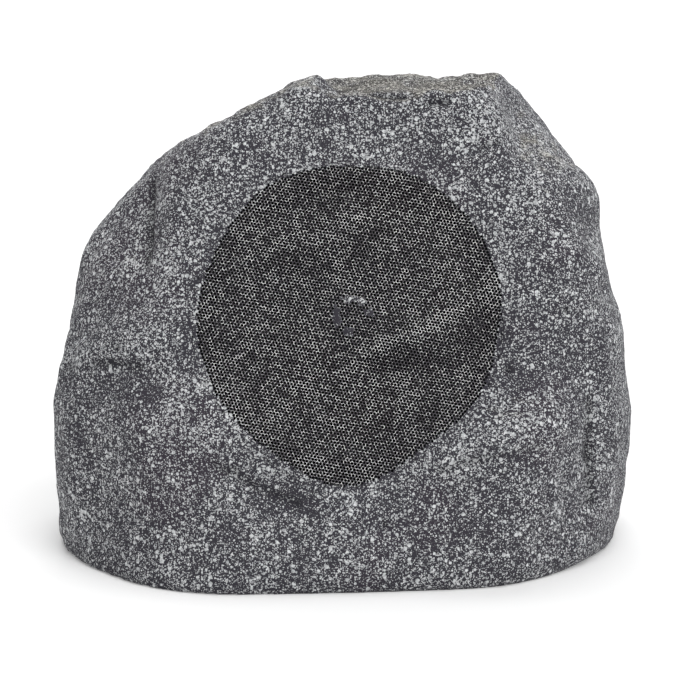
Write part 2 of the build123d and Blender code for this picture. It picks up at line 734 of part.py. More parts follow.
def make_spider():
    """Ridged disc of treated cloth between the ledge and the former, with a cuff on the former."""
    floor = -SPIDER_LEDGE_DEPTH
    inner = FORMER_OUTER + GLUE_GAP
    outer = SPIDER_RADIUS - GLUE_GAP
    cuff = inner + SPIDER_THICKNESS
    start = cuff + SPIDER_RIDGE_HEIGHT
    end = BASKET_NECK_RADIUS - BASKET_WALL
    step = (end - start) / (2 * SPIDER_RIDGES)
    lower = [(start + step * i, floor + SPIDER_RIDGE_HEIGHT * (i % 2)) for i in range(2 * SPIDER_RIDGES + 1)]
    upper = [(radius, height + SPIDER_THICKNESS) for radius, height in reversed(lower)]
    return DRIVER * turned(
        (inner, floor),
        *lower,
        (outer, floor),
        (outer, floor + SPIDER_THICKNESS),
        *upper,
        (cuff, floor + SPIDER_THICKNESS),
        (cuff, floor + SPIDER_CUFF),
        (inner, floor + SPIDER_CUFF),
    )


def make_top_plate():
    return DRIVER * ring(COIL_OUTER + GAP_CLEARANCE, TOP_PLATE_RADIUS, PLATE_BACK, -BASKET_DEPTH)


def make_magnet():
    return DRIVER * ring(MAGNET_BORE, MAGNET_RADIUS, MAGNET_BACK, PLATE_BACK)


def make_pole_yoke():
    """Back plate and vented pole, turned from one blank."""
    return DRIVER * turned(
        (POLE_VENT, YOKE_BACK),
        (YOKE_RADIUS, YOKE_BACK),
        (YOKE_RADIUS, MAGNET_BACK),
        (POLE_RADIUS, MAGNET_BACK),
        (POLE_RADIUS, -BASKET_DEPTH),
        (POLE_VENT, -BASKET_DEPTH),
    )


STRIP_INNER = BASKET_NECK_RADIUS + GLUE_GAP
STRIP_MIDDLE = -(SPIDER_LEDGE_DEPTH + BASKET_WALL + BASKET_DEPTH) / 2


def make_terminal_strip():
    """Tag strip on the underside of the basket's neck."""
    low = STRIP_MIDDLE - STRIP_HEIGHT / 2
    outline = Polyline(
        (STRIP_INNER, 0, low),
        (STRIP_INNER + STRIP_THICKNESS, 0, low),
        (STRIP_INNER + STRIP_THICKNESS, 0, low + STRIP_HEIGHT),
        (STRIP_INNER, 0, low + STRIP_HEIGHT),
        close=True,
    )
    return DRIVER * Rot(0, 0, -90 - STRIP_ANGLE / 2) * revolve(make_face(outline), Axis.Z, STRIP_ANGLE)


# Tweeter, in the driver's frame

BRIDGE_LOW = ROLL_TOP + CONE_TRAVEL
BRIDGE_HIGH = BRIDGE_LOW + BRIDGE_THICKNESS
HOLDER_INNER = TWEETER_CUP_RADIUS + TWEETER_CLEARANCE
HOLDER_OUTER = HOLDER_INNER + TWEETER_HOLDER_WALL
CUP_INNER = TWEETER_CUP_RADIUS - TWEETER_CUP_WALL
TWEETER_POLE_RADIUS = CUP_INNER - 2 * TWEETER_GAP - TWEETER_FOIL
CUP_LOW = BRIDGE_LOW - TWEETER_CUP_FLOOR
TWEETER_MAGNET_LOW = CUP_LOW + TWEETER_CUP_FLOOR
TWEETER_POLE_LOW = TWEETER_MAGNET_LOW + TWEETER_MAGNET_THICKNESS
TWEETER_FACE = TWEETER_POLE_LOW + TWEETER_POLE_THICKNESS
SKIRT_OUTER = CUP_INNER - TWEETER_GAP


def make_tweeter_bridge():
    """Bar across the woofer on two feet, with a round holder for the tweeter in its middle."""
    length = 2 * WOOFER_BOLT_CIRCLE
    bar = Pos(0, 0, BRIDGE_LOW) * extrude(SlotCenterToCenter(length, 2 * BRIDGE_FOOT_RADIUS), BRIDGE_THICKNESS)
    web = Pos(0, 0, BRIDGE_LOW) * extrude(Ellipse(SURROUND_OUTER, BRIDGE_WIDTH / 2), BRIDGE_THICKNESS)
    foot = disc(BRIDGE_FOOT_RADIUS, FLANGE_FACE, BRIDGE_LOW)
    feet = [Pos(x, y, 0) * foot for x, y in bridge_bolts()]
    holder = disc(HOLDER_OUTER, CUP_LOW - TWEETER_CUP_FLOOR, TWEETER_FACE + TWEETER_FOIL)
    bridge = bar + web + feet + holder
    bridge -= disc(HOLDER_INNER, CUP_LOW, TWEETER_FACE + TWEETER_FOIL)
    drill = disc(SCREW_HOLE, FLANGE_FACE, BRIDGE_HIGH)
    return DRIVER * (bridge - [Pos(x, y, 0) * drill for x, y in bridge_bolts()])


def make_bridge_screws():
    fastener = screw(BRIDGE_HIGH, -SCREW_BITE + SCREW_CLEARANCE)
    return [DRIVER * Pos(x, y, 0) * fastener for x, y in bridge_bolts()]


def make_tweeter_cup():
    return DRIVER * turned(
        (0, CUP_LOW),
        (TWEETER_CUP_RADIUS, CUP_LOW),
        (TWEETER_CUP_RADIUS, TWEETER_FACE),
        (CUP_INNER, TWEETER_FACE),
        (CUP_INNER, TWEETER_MAGNET_LOW),
        (0, TWEETER_MAGNET_LOW),
    )


def make_tweeter_magnet():
    return DRIVER * disc(TWEETER_MAGNET_RADIUS, TWEETER_MAGNET_LOW, TWEETER_POLE_LOW)


def make_tweeter_pole_plate():
    return DRIVER * disc(TWEETER_POLE_RADIUS, TWEETER_POLE_LOW, TWEETER_FACE)


def make_tweeter_dome():
    """Dome, flat clamping ring and coil skirt, formed as one diaphragm."""
    base = TWEETER_FACE + TWEETER_FOIL
    inner = SKIRT_OUTER - TWEETER_FOIL
    line = Polyline(
        (inner, 0, TWEETER_FACE),
        (inner, 0, TWEETER_FACE - TWEETER_SKIRT),
        (SKIRT_OUTER, 0, TWEETER_FACE - TWEETER_SKIRT),
        (SKIRT_OUTER, 0, TWEETER_FACE),
        (TWEETER_CUP_RADIUS, 0, TWEETER_FACE),
        (TWEETER_CUP_RADIUS, 0, base),
        (SKIRT_OUTER, 0, base),
    )
    top = base + TWEETER_DOME_RISE
    line += dome_arc(SKIRT_OUTER, TWEETER_DOME_RISE, base)
    line += Line((0, 0, top), (0, 0, top - TWEETER_FOIL))
    line += dome_arc(inner, TWEETER_DOME_RISE, TWEETER_FACE)
    return DRIVER * revolve(make_face(line), Axis.Z)


def make_tweeter_faceplate():
    """Flared plate that clamps the diaphragm's ring."""
    low = TWEETER_FACE + TWEETER_FOIL
    mouth = SKIRT_OUTER + TWEETER_GAP
    return DRIVER * turned(
        (mouth, low),
        (HOLDER_OUTER, low),
        (HOLDER_OUTER, low + TWEETER_FACEPLATE),
        (mouth + TWEETER_MOUTH_FLARE, low + TWEETER_FACEPLATE),
    )


# Crossover on the base plate

BOARD_LOW = PLATE_THICKNESS + POST_HEIGHT
BOARD_TOP = BOARD_LOW + BOARD_THICKNESS


def post_places():
    spread_x = BOARD_LENGTH / 2 - POST_INSET
    spread_y = BOARD_WIDTH / 2 - POST_INSET
    return [(BOARD_X + sx * spread_x, BOARD_Y + sy * spread_y) for sx in (-1, 1) for sy in (-1, 1)]


def board_spot(across, back):
    """A place on the board, from its middle."""
    return BOARD_X + across, BOARD_Y + back


BOBBIN_SPOT = board_spot(-BOARD_LENGTH / 2 + BOBBIN_RADIUS + 2 * POST_INSET, 0)
CAPACITOR_SPOT = board_spot(CAPACITOR_SIZE[0] / 2 + POST_INSET, CAPACITOR_SIZE[1])
RESISTOR_SPOT = board_spot(BOARD_LENGTH / 2 - RESISTOR_SIZE[0] / 2 - 2 * POST_INSET, -RESISTOR_SIZE[1])
TERMINAL_SPOT = board_spot(TERMINAL_SIZE[0] / 2, BOARD_WIDTH / 2 - TERMINAL_SIZE[1] / 2)
LEAD_SPOT = board_spot(0, -BOARD_WIDTH / 2 + POST_INSET)


def make_crossover_posts():
    post = disc(POST_RADIUS, PLATE_THICKNESS, BOARD_LOW) - disc(PILOT_HOLE, BOARD_LOW - SCREW_BITE, BOARD_LOW)
    return [Pos(x, y, 0) * post for x, y in post_places()]


def make_crossover_board():
    board = Pos(BOARD_X, BOARD_Y, BOARD_LOW) * extrude(
        RectangleRounded(BOARD_LENGTH, BOARD_WIDTH, PART_ROUNDING), BOARD_THICKNESS
    )
    return board - [Pos(x, y, BOARD_LOW) * disc(SCREW_HOLE, 0, BOARD_THICKNESS) for x, y in post_places()]


def make_crossover_screws():
    fastener = screw(BOARD_TOP, BOARD_LOW - SCREW_BITE + SCREW_CLEARANCE)
    return [Pos(x, y, 0) * fastener for x, y in post_places()]


def make_inductor_bobbin():
    cheek = BOBBIN_CHEEK
    return Pos(*BOBBIN_SPOT, BOARD_TOP) * turned(
        (0, 0),
        (BOBBIN_RADIUS, 0),
        (BOBBIN_RADIUS, cheek),
        (BOBBIN_CORE, cheek),
        (BOBBIN_CORE, BOBBIN_HEIGHT - cheek),
        (BOBBIN_RADIUS, BOBBIN_HEIGHT - cheek),
        (BOBBIN_RADIUS, BOBBIN_HEIGHT),
        (0, BOBBIN_HEIGHT),
    )


def make_inductor_coil():
    inner = BOBBIN_CORE + GLUE_GAP
    turns = ring(inner, BOBBIN_RADIUS - BOBBIN_CHEEK, BOBBIN_CHEEK, BOBBIN_HEIGHT - BOBBIN_CHEEK)
    return Pos(*BOBBIN_SPOT, BOARD_TOP) * turns


def make_tweeter_capacitor():
    return block(CAPACITOR_SIZE, *CAPACITOR_SPOT, BOARD_TOP)


def make_crossover_resistor():
    return block(RESISTOR_SIZE, *RESISTOR_SPOT, BOARD_TOP)


def make_terminal_block():
    """Screw terminals: wire mouths face the rear, screw wells open at the top."""
    length, width, height = TERMINAL_SIZE
    body = block(TERMINAL_SIZE, *TERMINAL_SPOT, BOARD_TOP)
    pole = length / TERMINAL_POLES
    for i in range(TERMINAL_POLES):
        x = TERMINAL_SPOT[0] - length / 2 + pole * (i + 0.5)
        mouth = Pos(x, TERMINAL_SPOT[1], BOARD_TOP + height / 3) * Rot(-90, 0, 0) * disc(TERMINAL_HOLE, 0, width)
        body -= mouth
        body -= Pos(x, TERMINAL_SPOT[1], BOARD_TOP + height / 3) * disc(TERMINAL_HOLE, 0, height)
    return body


def make_driver_lead():
    """Flexible lead from the board up to the tag strip."""
    start = Vector(*LEAD_SPOT, BOARD_TOP)
    end = DRIVER.from_local_coords(Vector(0, -STRIP_INNER - STRIP_THICKNESS, STRIP_MIDDLE))
    down = DRIVER.y_dir * -1
    route = [start, start + Vector(0, 0, LEAD_RISE), end + down * LEAD_DROP, end]
    radii = []
    for before, corner, after in zip(route, route[1:], route[2:]):
        turn = math.radians((corner - before).get_angle(after - corner))
        run = min((corner - before).length, (after - corner).length)
        radii.append(0.45 * run / math.tan(turn / 2))
    path = FilletPolyline(*route, radius=radii)
    profile = Plane(start, z_dir=(0, 0, 1)) * Circle(LEAD_RADIUS)
    return sweep(profile, path)


def make_damping_pad():
    """Wadding that lines the rear wall."""
    outer = skin_solid(WALL + PAD_GAP, FLANGE_HIGH)
    inner = skin_solid(WALL + PAD_GAP + PAD_THICKNESS, FLANGE_HIGH)
    width = 2 * PAD_HALF_WIDTH
    window = Pos(0, PAD_FRONT + FAR / 2, (PAD_LOW + PAD_HIGH) / 2) * Box(width, FAR, PAD_HIGH - PAD_LOW)
    return (outer & window) - inner


# Cable gland, in its own frame

NUT_LOW = -GLAND_WALL - GLAND_NUT
COLLAR_HIGH = GLAND_WASHER + GLAND_COLLAR
SPIGOT_HIGH = COLLAR_HIGH + GLAND_SPIGOT
SEAL_HIGH = SPIGOT_HIGH + SEAL_COLLAR
CAP_INNER = GLAND_THREAD + GLAND_CLEARANCE


def make_gland_washer():
    return GLAND * ring(GLAND_THREAD + GLAND_CLEARANCE, GLAND_FLATS / 2, 0, GLAND_WASHER)


def make_gland_body():
    """Threaded tube with a hexagon collar."""
    tube = disc(GLAND_THREAD, -GLAND_WALL - GLAND_TAIL, SPIGOT_HIGH)
    body = tube + hexagon(GLAND_FLATS, GLAND_WASHER, COLLAR_HIGH)
    return GLAND * (body - disc(GLAND_BORE, -GLAND_WALL - GLAND_TAIL, SPIGOT_HIGH))


def make_gland_locknut():
    return GLAND * (hexagon(GLAND_FLATS, NUT_LOW, -GLAND_WALL) - disc(CAP_INNER, NUT_LOW, -GLAND_WALL))


def make_gland_seal():
    """Rubber bush that the cable passes through, hung from the spigot by its collar."""
    bush = GLAND_BORE - GLAND_CLEARANCE
    return GLAND * turned(
        (CABLE_RADIUS, COLLAR_HIGH),
        (bush, COLLAR_HIGH),
        (bush, SPIGOT_HIGH),
        (GLAND_THREAD, SPIGOT_HIGH),
        (bush, SEAL_HIGH),
        (CABLE_RADIUS, SEAL_HIGH),
    )


def make_gland_cap():
    """Hexagon dome nut that squeezes the bush."""
    low = COLLAR_HIGH + GLAND_CLEARANCE
    high = SEAL_HIGH + CAP_END
    outer = CAP_INNER + CAP_WALL
    mouth = CABLE_RADIUS + CAP_MOUTH_CLEARANCE
    shape = hexagon(2 * outer, low, high)
    shape &= turned((0, low), (outer * 2, low), (outer * 2, high - CAP_NOSE), (outer, high), (0, high))
    hollow = turned(
        (0, low),
        (CAP_INNER, low),
        (CAP_INNER, SPIGOT_HIGH + GLAND_CLEARANCE),
        (GLAND_BORE, SEAL_HIGH + GLAND_CLEARANCE),
        (mouth, SEAL_HIGH + GLAND_CLEARANCE),
        (mouth, high),
        (0, high),
    )
    return GLAND * (shape - hollow)


NODES = {
    "rock_shell": make_rock_shell,
    "base_plate": make_base_plate,
    "base_gasket": make_base_gasket,
    "base_screws": make_base_screws,
    "grille": make_grille,
    "grille_seal": make_grille_seal,
    "woofer_gasket": make_woofer_gasket,
    "woofer_basket": make_woofer_basket,
    "woofer_screws": make_woofer_screws,
    "woofer_surround": make_woofer_surround,
    "woofer_cone": make_woofer_cone,
    "dust_cap": make_dust_cap,
    "voice_coil_former": make_voice_coil_former,
    "voice_coil": make_voice_coil,
    "spider": make_spider,
    "top_plate": make_top_plate,
    "magnet": make_magnet,
    "pole_yoke": make_pole_yoke,
    "terminal_strip": make_terminal_strip,
    "tweeter_bridge": make_tweeter_bridge,
    "bridge_screws": make_bridge_screws,
    "tweeter_cup": make_tweeter_cup,
    "tweeter_magnet": make_tweeter_magnet,
    "tweeter_pole_plate": make_tweeter_pole_plate,
    "tweeter_dome": make_tweeter_dome,
    "tweeter_faceplate": make_tweeter_faceplate,
    "crossover_posts": make_crossover_posts,
    "crossover_board": make_crossover_board,
    "crossover_screws": make_crossover_screws,
    "inductor_bobbin": make_inductor_bobbin,
    "inductor_coil": make_inductor_coil,
    "tweeter_capacitor": make_tweeter_capacitor,
    "crossover_resistor": make_crossover_resistor,
    "terminal_block": make_terminal_block,
    "driver_lead": make_driver_lead,
    "damping_pad": make_damping_pad,
    "gland_washer": make_gland_washer,
    "gland_body": make_gland_body,
    "gland_locknut": make_gland_locknut,
    "gland_seal": make_gland_seal,
    "gland_cap": make_gland_cap,
}

os.makedirs("parts", exist_ok=True)
for name, make in NODES.items():
    shape = make()
    if isinstance(shape, list):
        shape = Compound(children=shape)
    export_step(shape, f"parts/{name}.step")
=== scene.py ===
import json
import math

import bmesh
import bpy
import numpy as np
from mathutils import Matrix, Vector, noise
from mathutils.bvhtree import BVHTree


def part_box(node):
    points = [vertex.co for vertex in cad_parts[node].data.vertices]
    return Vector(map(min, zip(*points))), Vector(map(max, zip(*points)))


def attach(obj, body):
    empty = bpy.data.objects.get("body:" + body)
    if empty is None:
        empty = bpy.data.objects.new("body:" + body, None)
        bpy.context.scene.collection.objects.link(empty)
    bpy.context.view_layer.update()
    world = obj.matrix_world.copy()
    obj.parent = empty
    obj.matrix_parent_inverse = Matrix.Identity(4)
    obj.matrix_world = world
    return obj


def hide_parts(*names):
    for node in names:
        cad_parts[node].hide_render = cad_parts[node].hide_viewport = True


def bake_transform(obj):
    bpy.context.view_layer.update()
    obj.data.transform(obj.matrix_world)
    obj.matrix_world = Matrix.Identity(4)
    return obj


# Looks of the rock shaped garden speaker. Metres, +Z up, front towards -Y.

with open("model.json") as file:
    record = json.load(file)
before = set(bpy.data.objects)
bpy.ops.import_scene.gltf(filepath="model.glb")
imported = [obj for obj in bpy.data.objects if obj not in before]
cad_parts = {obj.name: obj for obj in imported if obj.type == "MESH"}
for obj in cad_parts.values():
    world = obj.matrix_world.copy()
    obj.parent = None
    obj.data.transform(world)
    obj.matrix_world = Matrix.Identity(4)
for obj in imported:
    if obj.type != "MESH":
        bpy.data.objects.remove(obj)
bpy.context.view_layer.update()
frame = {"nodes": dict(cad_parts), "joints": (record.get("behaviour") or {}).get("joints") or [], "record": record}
NODES = frame["nodes"]
MM = 0.001

# Camera
FRAME_PIXELS = 688
CAMERA_TARGET = Vector((0.0026, 0.0, 0.125))
CAMERA_ELEVATION = math.radians(12.0)
CAMERA_DISTANCE = 2.2
CAMERA_LENS_MM = 181.0
CAMERA_SENSOR_MM = 36.0

# Light
AMBIENT = 0.4
# Soft distant lights: heading, 0 the front and 90 the right, and height in degrees, strength and spread
SUNS = {
    "top_sun": (22.0, 62.0, 1.1, 40.0),
    "back_sun": (180.0, 67.0, 1.1, 40.0),
    "front_sun": (25.0, 18.0, 0.55, 60.0),
    "right_sun": (80.0, 12.0, 0.4, 60.0),
}
SUN_DISTANCE = 3.0
FLOOR_REACH = 6.0
FLOOR_SHADE = 0.9
FLOOR_GLOW = 0.17

# Rock
ROCK_CORE = Vector((0.025, -0.02, 0.0))
ROCK_VOXEL = 2.15 * MM
ROCK_SMOOTHING = 14
# The skin is what rays meet first on their way in to the core
RAY_START = 0.6
SKIN_TOLERANCE = 1.0 * MM
SKIN_BOTTOM = 1.5 * MM
PLATEAU_BAND = 2.5 * MM
# How far from the grille's rim, the gland's pocket and the floor the grain starts, and is in full
RIM_START = 0.6 * MM
RIM_FADE = 7.0 * MM
GLAND_POCKET = 20.0 * MM
FOOT_START = 0.5 * MM
FOOT_FADE = 7.0 * MM
# Share of the triangles that is left once the inner ones are thinned
INNER_DETAIL = 0.51

# Marks of the rock: height and width in mm, and course in pixels of the photograph
ROCK_MARKS = {
    "left_crease": (-2.2, 3.6, ((151, 183), (151, 225), (146, 262))),
    "left_crease_bank": (1.5, 8.0, ((170, 180), (172, 230), (165, 270))),
    "left_peak": (6.0, 10.0, ((302, 94), (314, 89))),
    "plateau_dip": (-4.5, 9.0, ((338, 91), (337, 81))),
    "left_lobe": (3.0, 26.0, ((72, 400), (70, 450), (72, 500))),
    "right_waist": (-3.0, 14.0, ((592, 225), (593, 245))),
    "right_knob": (2.5, 6.0, ((598, 268), (600, 274))),
    "right_notch": (-2.5, 5.0, ((602, 286), (606, 290))),
    "right_lobe": (2.5, 24.0, ((610, 450), (606, 500), (600, 525))),
    "plateau_edge": (2.5, 6.0, ((322, 88), (352, 97), (385, 106), (420, 104))),
    "plateau_crack": (-2.5, 2.8, ((362, 92), (384, 97), (406, 98))),
    "block_crack": (-2.0, 2.4, ((430, 104), (447, 102))),
    "top_crack": (-2.0, 2.4, ((450, 94), (472, 91), (484, 88))),
    "corner_undercut": (-1.5, 5.0, ((508, 112), (524, 108), (536, 118))),
    "right_valley": (-1.2, 5.0, ((519, 112), (516, 140), (515, 165), (524, 190))),
    "right_gully": (-1.8, 4.0, ((590, 400), (588, 450), (590, 500))),
    "ledge_crack": (-1.6, 2.6, ((440, 470), (490, 458), (540, 446))),
    "fold_crack": (-1.6, 2.6, ((214, 464), (255, 486), (298, 504))),
    "left_ledge_crack": (-1.6, 2.6, ((66, 368), (105, 362), (140, 368))),
    "short_crack": (-2.0, 2.2, ((590, 446), (591, 466))),
    "brow_crack": (-1.6, 2.2, ((484, 146), (500, 142))),
}
# Painted shade in the rock's hollows, which thins the flecks, and painted light on its ledges, which crowds them:
# how much, shade above 0 and light below, then as above
ROCK_PAINTED_LIGHT_AND_SHADE = {
    "right_hollow": (0.22, 16.0, ((520, 372), (560, 366), (596, 354))),
    "right_nook": (0.2, 10.0, ((578, 202), (590, 222))),
    "shoulder": (-0.05, 12.0, ((545, 152), (568, 180))),
    "low_right_ledge": (-0.18, 10.0, ((440, 468), (490, 450), (540, 438))),
    "low_right_hollow": (0.18, 15.0, ((415, 520), (450, 512), (480, 520))),
    "fold": (0.22, 9.0, ((268, 498), (300, 506))),
    "low_left_bulge": (-0.1, 12.0, ((160, 440), (210, 440), (250, 455))),
    "left_ledge": (-0.18, 7.0, ((64, 358), (85, 354), (110, 350))),
    "left_hollow": (0.18, 13.0, ((78, 395), (110, 400), (150, 395))),
    "top_band": (-0.14, 12.0, ((400, 128), (450, 122), (495, 128))),
}
ROCK_PITS = ((115, 347), (235, 470), (270, 460), (385, 525), (508, 370), (566, 310))
PIT_DEPTH = 2.5 * MM
PIT_WIDTH = 2.4 * MM
# Marks narrower than this, in mm, hold shade, which is in full at a depth
NARROW_MARK = 5.0
SHADE_DEPTH = 4.0 * MM
# The rock is painted near black inside this line about the grille's rim, as shade behind the grille's holes
UNDER_RIM = -0.5 * MM
# Curl of the foot: its height, and how far in it goes
FOOT_ROUND = 14.0 * MM
FOOT_TUCK = 4.5 * MM
# Toe at the front left: the headings in degrees between which it comes up and goes down again
TOE_RISE = (182.0, 200.0)
TOE_FALL = (222.0, 248.0)
TOE_REACH = 10.0 * MM
TOE_HEIGHT = 60.0 * MM

# Grain of the rock's skin: wavelength and height
SKIN_GRAIN = (
    (46.0 * MM, 2.6 * MM),
    (19.0 * MM, 1.1 * MM),
    (8.0 * MM, 0.5 * MM),
    (4.6 * MM, 0.25 * MM),
)
GRAIN_STEP = (7.3, 1.7, 3.1)
# How much more of it the top takes, and the upward lean at which this starts and is in full
TOP_ROUGHNESS = 1.6
TOP_LEAN = (0.6, 0.95)

# Grille
HOLE_PITCH = 2.06 * MM
HOLE_RADIUS = 1.01 * MM
HOLE_ROW_ANGLE = math.radians(-10.0)
SHEET_THICKNESS = 0.8 * MM
SHEET_BORDER = 0.5 * MM
# How far the sheet reaches past its CAD node's edge, and stands out from its face
SHEET_GAP = 0.8 * MM
SHEET_RAISE = 1.25 * MM
LIP_REACH = 3.0 * MM
LIP_DIP = 1.2 * MM
# A hole's wall, painted black as shade, starts this far down
WALL_TOP = 0.01 * MM
# Faces of the CAD grille that make its rim and its front: how far out they lie and how squarely they face
RIM_SHARE = 0.85
RIM_FACING = 0.8
FRONT_FACING = 0.7
# Badge seat, a ring round the grille's middle
RING_CENTRE = (1.9 * MM, 2.9 * MM)
RING_INNER = 8.2 * MM
RING_OUTER = 12.2 * MM
RING_RISE = 1.0 * MM
RING_ROUND = 1.0 * MM
RING_MARGIN = 6.0 * MM
# Blind stretches, where it covers the holes, and the one with a painted highlight: middle, and run each way, in
# degrees
RING_BLIND = ((85.0, 40.0), (182.0, 33.0), (253.0, 20.0), (8.0, 13.0))
RING_LIGHT = (85.0, 45.0)
# Painted shade on a blind stretch, which thins its flecks, and the painted highlight on the lit one, which crowds
# them
RING_PAINTED_SHADE = 0.5
RING_PAINTED_HIGHLIGHT = -0.35
# Crest across the grille, in pixels of the photograph
CREST = ((365, 352), (440, 325), (515, 272))
CREST_HEIGHT = 1.2 * MM
CREST_WIDTH = 5.0 * MM
# Painted light and shade on the grille's paint, as for the rock's: light on the crest and upper ridge, shade under
# them
GRILLE_PAINTED_LIGHT_AND_SHADE = {
    "crest": (-0.75, 4.0, CREST),
    "under_crest": (0.3, 7.0, ((385, 366), (430, 362), (472, 356))),
    "upper_ridge": (-0.3, 5.0, ((275, 244), (330, 238), (362, 216))),
    "upper_hollow": (0.35, 5.0, ((284, 268), (328, 268))),
}

# Driver's own frame, on the axis that the cone travels along
AXIS = Vector(frame["joints"][0]["axis"])
RIGHT = Vector((1.0, 0.0, 0.0))
UP = AXIS.cross(RIGHT)
DRIVER_ORIGIN = sum(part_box("magnet"), Vector()) / 2
DRIVER_AXES = np.array([RIGHT, UP, AXIS])


def to_driver(points):
    """Points of the part in the driver's frame: across, up and out."""
    return (points - np.array(DRIVER_ORIGIN)) @ DRIVER_AXES.T


def from_driver(points):
    return points @ DRIVER_AXES + np.array(DRIVER_ORIGIN)


def smooth_step(value, low, high):
    share = np.clip((value - low) / (high - low), 0.0, 1.0)
    return share * share * (3 - 2 * share)


# Meshes

def coordinates(mesh):
    flat = np.empty(len(mesh.vertices) * 3)
    mesh.vertices.foreach_get("co", flat)
    return flat.reshape(-1, 3)


def normals(mesh):
    flat = np.empty(len(mesh.vertices) * 3)
    mesh.vertices.foreach_get("normal", flat)
    return flat.reshape(-1, 3)


def add_piece(name, mesh):
    piece = bpy.data.objects.new(name, mesh)
    bpy.context.scene.collection.objects.link(piece)
    return piece


def modify(piece, kind, **settings):
    """Applies a modifier."""
    modifier = piece.modifiers.new(kind, kind)
    for name, value in settings.items():
        setattr(modifier, name, value)
    graph = bpy.context.evaluated_depsgraph_get()
    made = bpy.data.meshes.new_from_object(piece.evaluated_get(graph))
    piece.modifiers.clear()
    piece.data = made


def node_copy(node, name):
    """A welded copy of a CAD node's mesh, as a new piece."""
    shape = bmesh.new()
    shape.from_mesh(NODES[node].data)
    bmesh.ops.remove_doubles(shape, verts=shape.verts, dist=1e-6)
    mesh = bpy.data.meshes.new(name)
    shape.to_mesh(mesh)
    shape.free()
    return add_piece(name, mesh)


def keep(mesh, name, values):
    """Keeps a value for each corner, for the paint to use."""
    attribute = mesh.attributes.new(name, "FLOAT", "POINT")
    attribute.data.foreach_set("value", np.asarray(values, dtype=float))


def tree_of(mesh):
    shape = bmesh.new()
    shape.from_mesh(mesh)
    tree = BVHTree.FromBMesh(shape)
    shape.free()
    return tree


# Outline and face of the grille, read from its CAD node

GRILLE_POINTS = to_driver(coordinates(NODES["grille"].data))


def grille_outline():
    """Angles round the grille and its edge's radius at each, from the faces of its rim."""
    edge = {}
    limit = np.hypot(GRILLE_POINTS[:, 0], GRILLE_POINTS[:, 1]).max() * RIM_SHARE
    for polygon in NODES["grille"].data.polygons:
        x, y = GRILLE_POINTS[list(polygon.vertices), :2].mean(axis=0)
        outward = (RIGHT * float(x) + UP * float(y)).normalized()
        if math.hypot(x, y) > limit and polygon.normal.dot(outward) > RIM_FACING:
            for px, py in GRILLE_POINTS[list(polygon.vertices), :2]:
                edge[round(math.atan2(py, px), 4)] = math.hypot(px, py)
    angles = np.array(sorted(edge))
    return angles, np.array([edge[angle] for angle in angles])


OUTLINE_ANGLES, OUTLINE_RADII = grille_outline()


def outline_radius(angle):
    return np.interp(angle, OUTLINE_ANGLES, OUTLINE_RADII, period=2 * math.pi)


def front_points():
    """Corners of the grille's front face, without the badge seat."""
    mesh = NODES["grille"].data
    chosen = set()
    for polygon in mesh.polygons:
        if polygon.normal.dot(AXIS) > FRONT_FACING:
            chosen.update(polygon.vertices)
    points = GRILLE_POINTS[sorted(chosen)]
    radius = np.hypot(points[:, 0], points[:, 1])
    ring = (radius > RING_INNER - RING_MARGIN) & (radius < RING_OUTER + RING_MARGIN)
    return np.unique(np.round(points[~ring], 5), axis=0)


# Ease of the spline at its points, and how many places are worked out at a time
SPLINE_EASE = 1e-3
SPLINE_BATCH = 4000


def plate_kernel(places, centres):
    """Thin plate spline kernel, in units of the grille's size."""
    gap = np.linalg.norm(places[:, None, :] - centres[None, :, :], axis=2)
    return gap**2 * np.log(gap + 1e-9)


class FrontFace:
    """Smooth height of the grille's face over the driver's frame."""

    def __init__(self):
        points = front_points()
        self.unit = OUTLINE_RADII.max()
        self.centres = points[:, :2] / self.unit
        count = len(points)
        flat = np.hstack([np.ones((count, 1)), self.centres])
        top = np.hstack([plate_kernel(self.centres, self.centres) + SPLINE_EASE * np.eye(count), flat])
        low = np.hstack([flat.T, np.zeros((3, 3))])
        self.weights = np.linalg.solve(np.vstack([top, low]), np.append(points[:, 2], np.zeros(3)))

    def height(self, across, up):
        places = np.column_stack([across, up]) / self.unit
        heights = []
        for part in np.array_split(places, max(1, len(places) // SPLINE_BATCH)):
            flat = np.hstack([np.ones((len(part), 1)), part])
            heights.append(np.hstack([plate_kernel(part, self.centres), flat]) @ self.weights)
        return np.concatenate(heights)


FACE = FrontFace()


# Rock

def gland_axis():
    """Place of the gland's axis, across and up."""
    middle = sum(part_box("gland_washer"), Vector()) / 2
    return middle.x, middle.z


def rim_distance(points):
    """How far outside the grille's edge each point lies, seen along the driver's axis."""
    local = to_driver(points)
    radius = np.hypot(local[:, 0], local[:, 1])
    return radius - outline_radius(np.arctan2(local[:, 1], local[:, 0]))


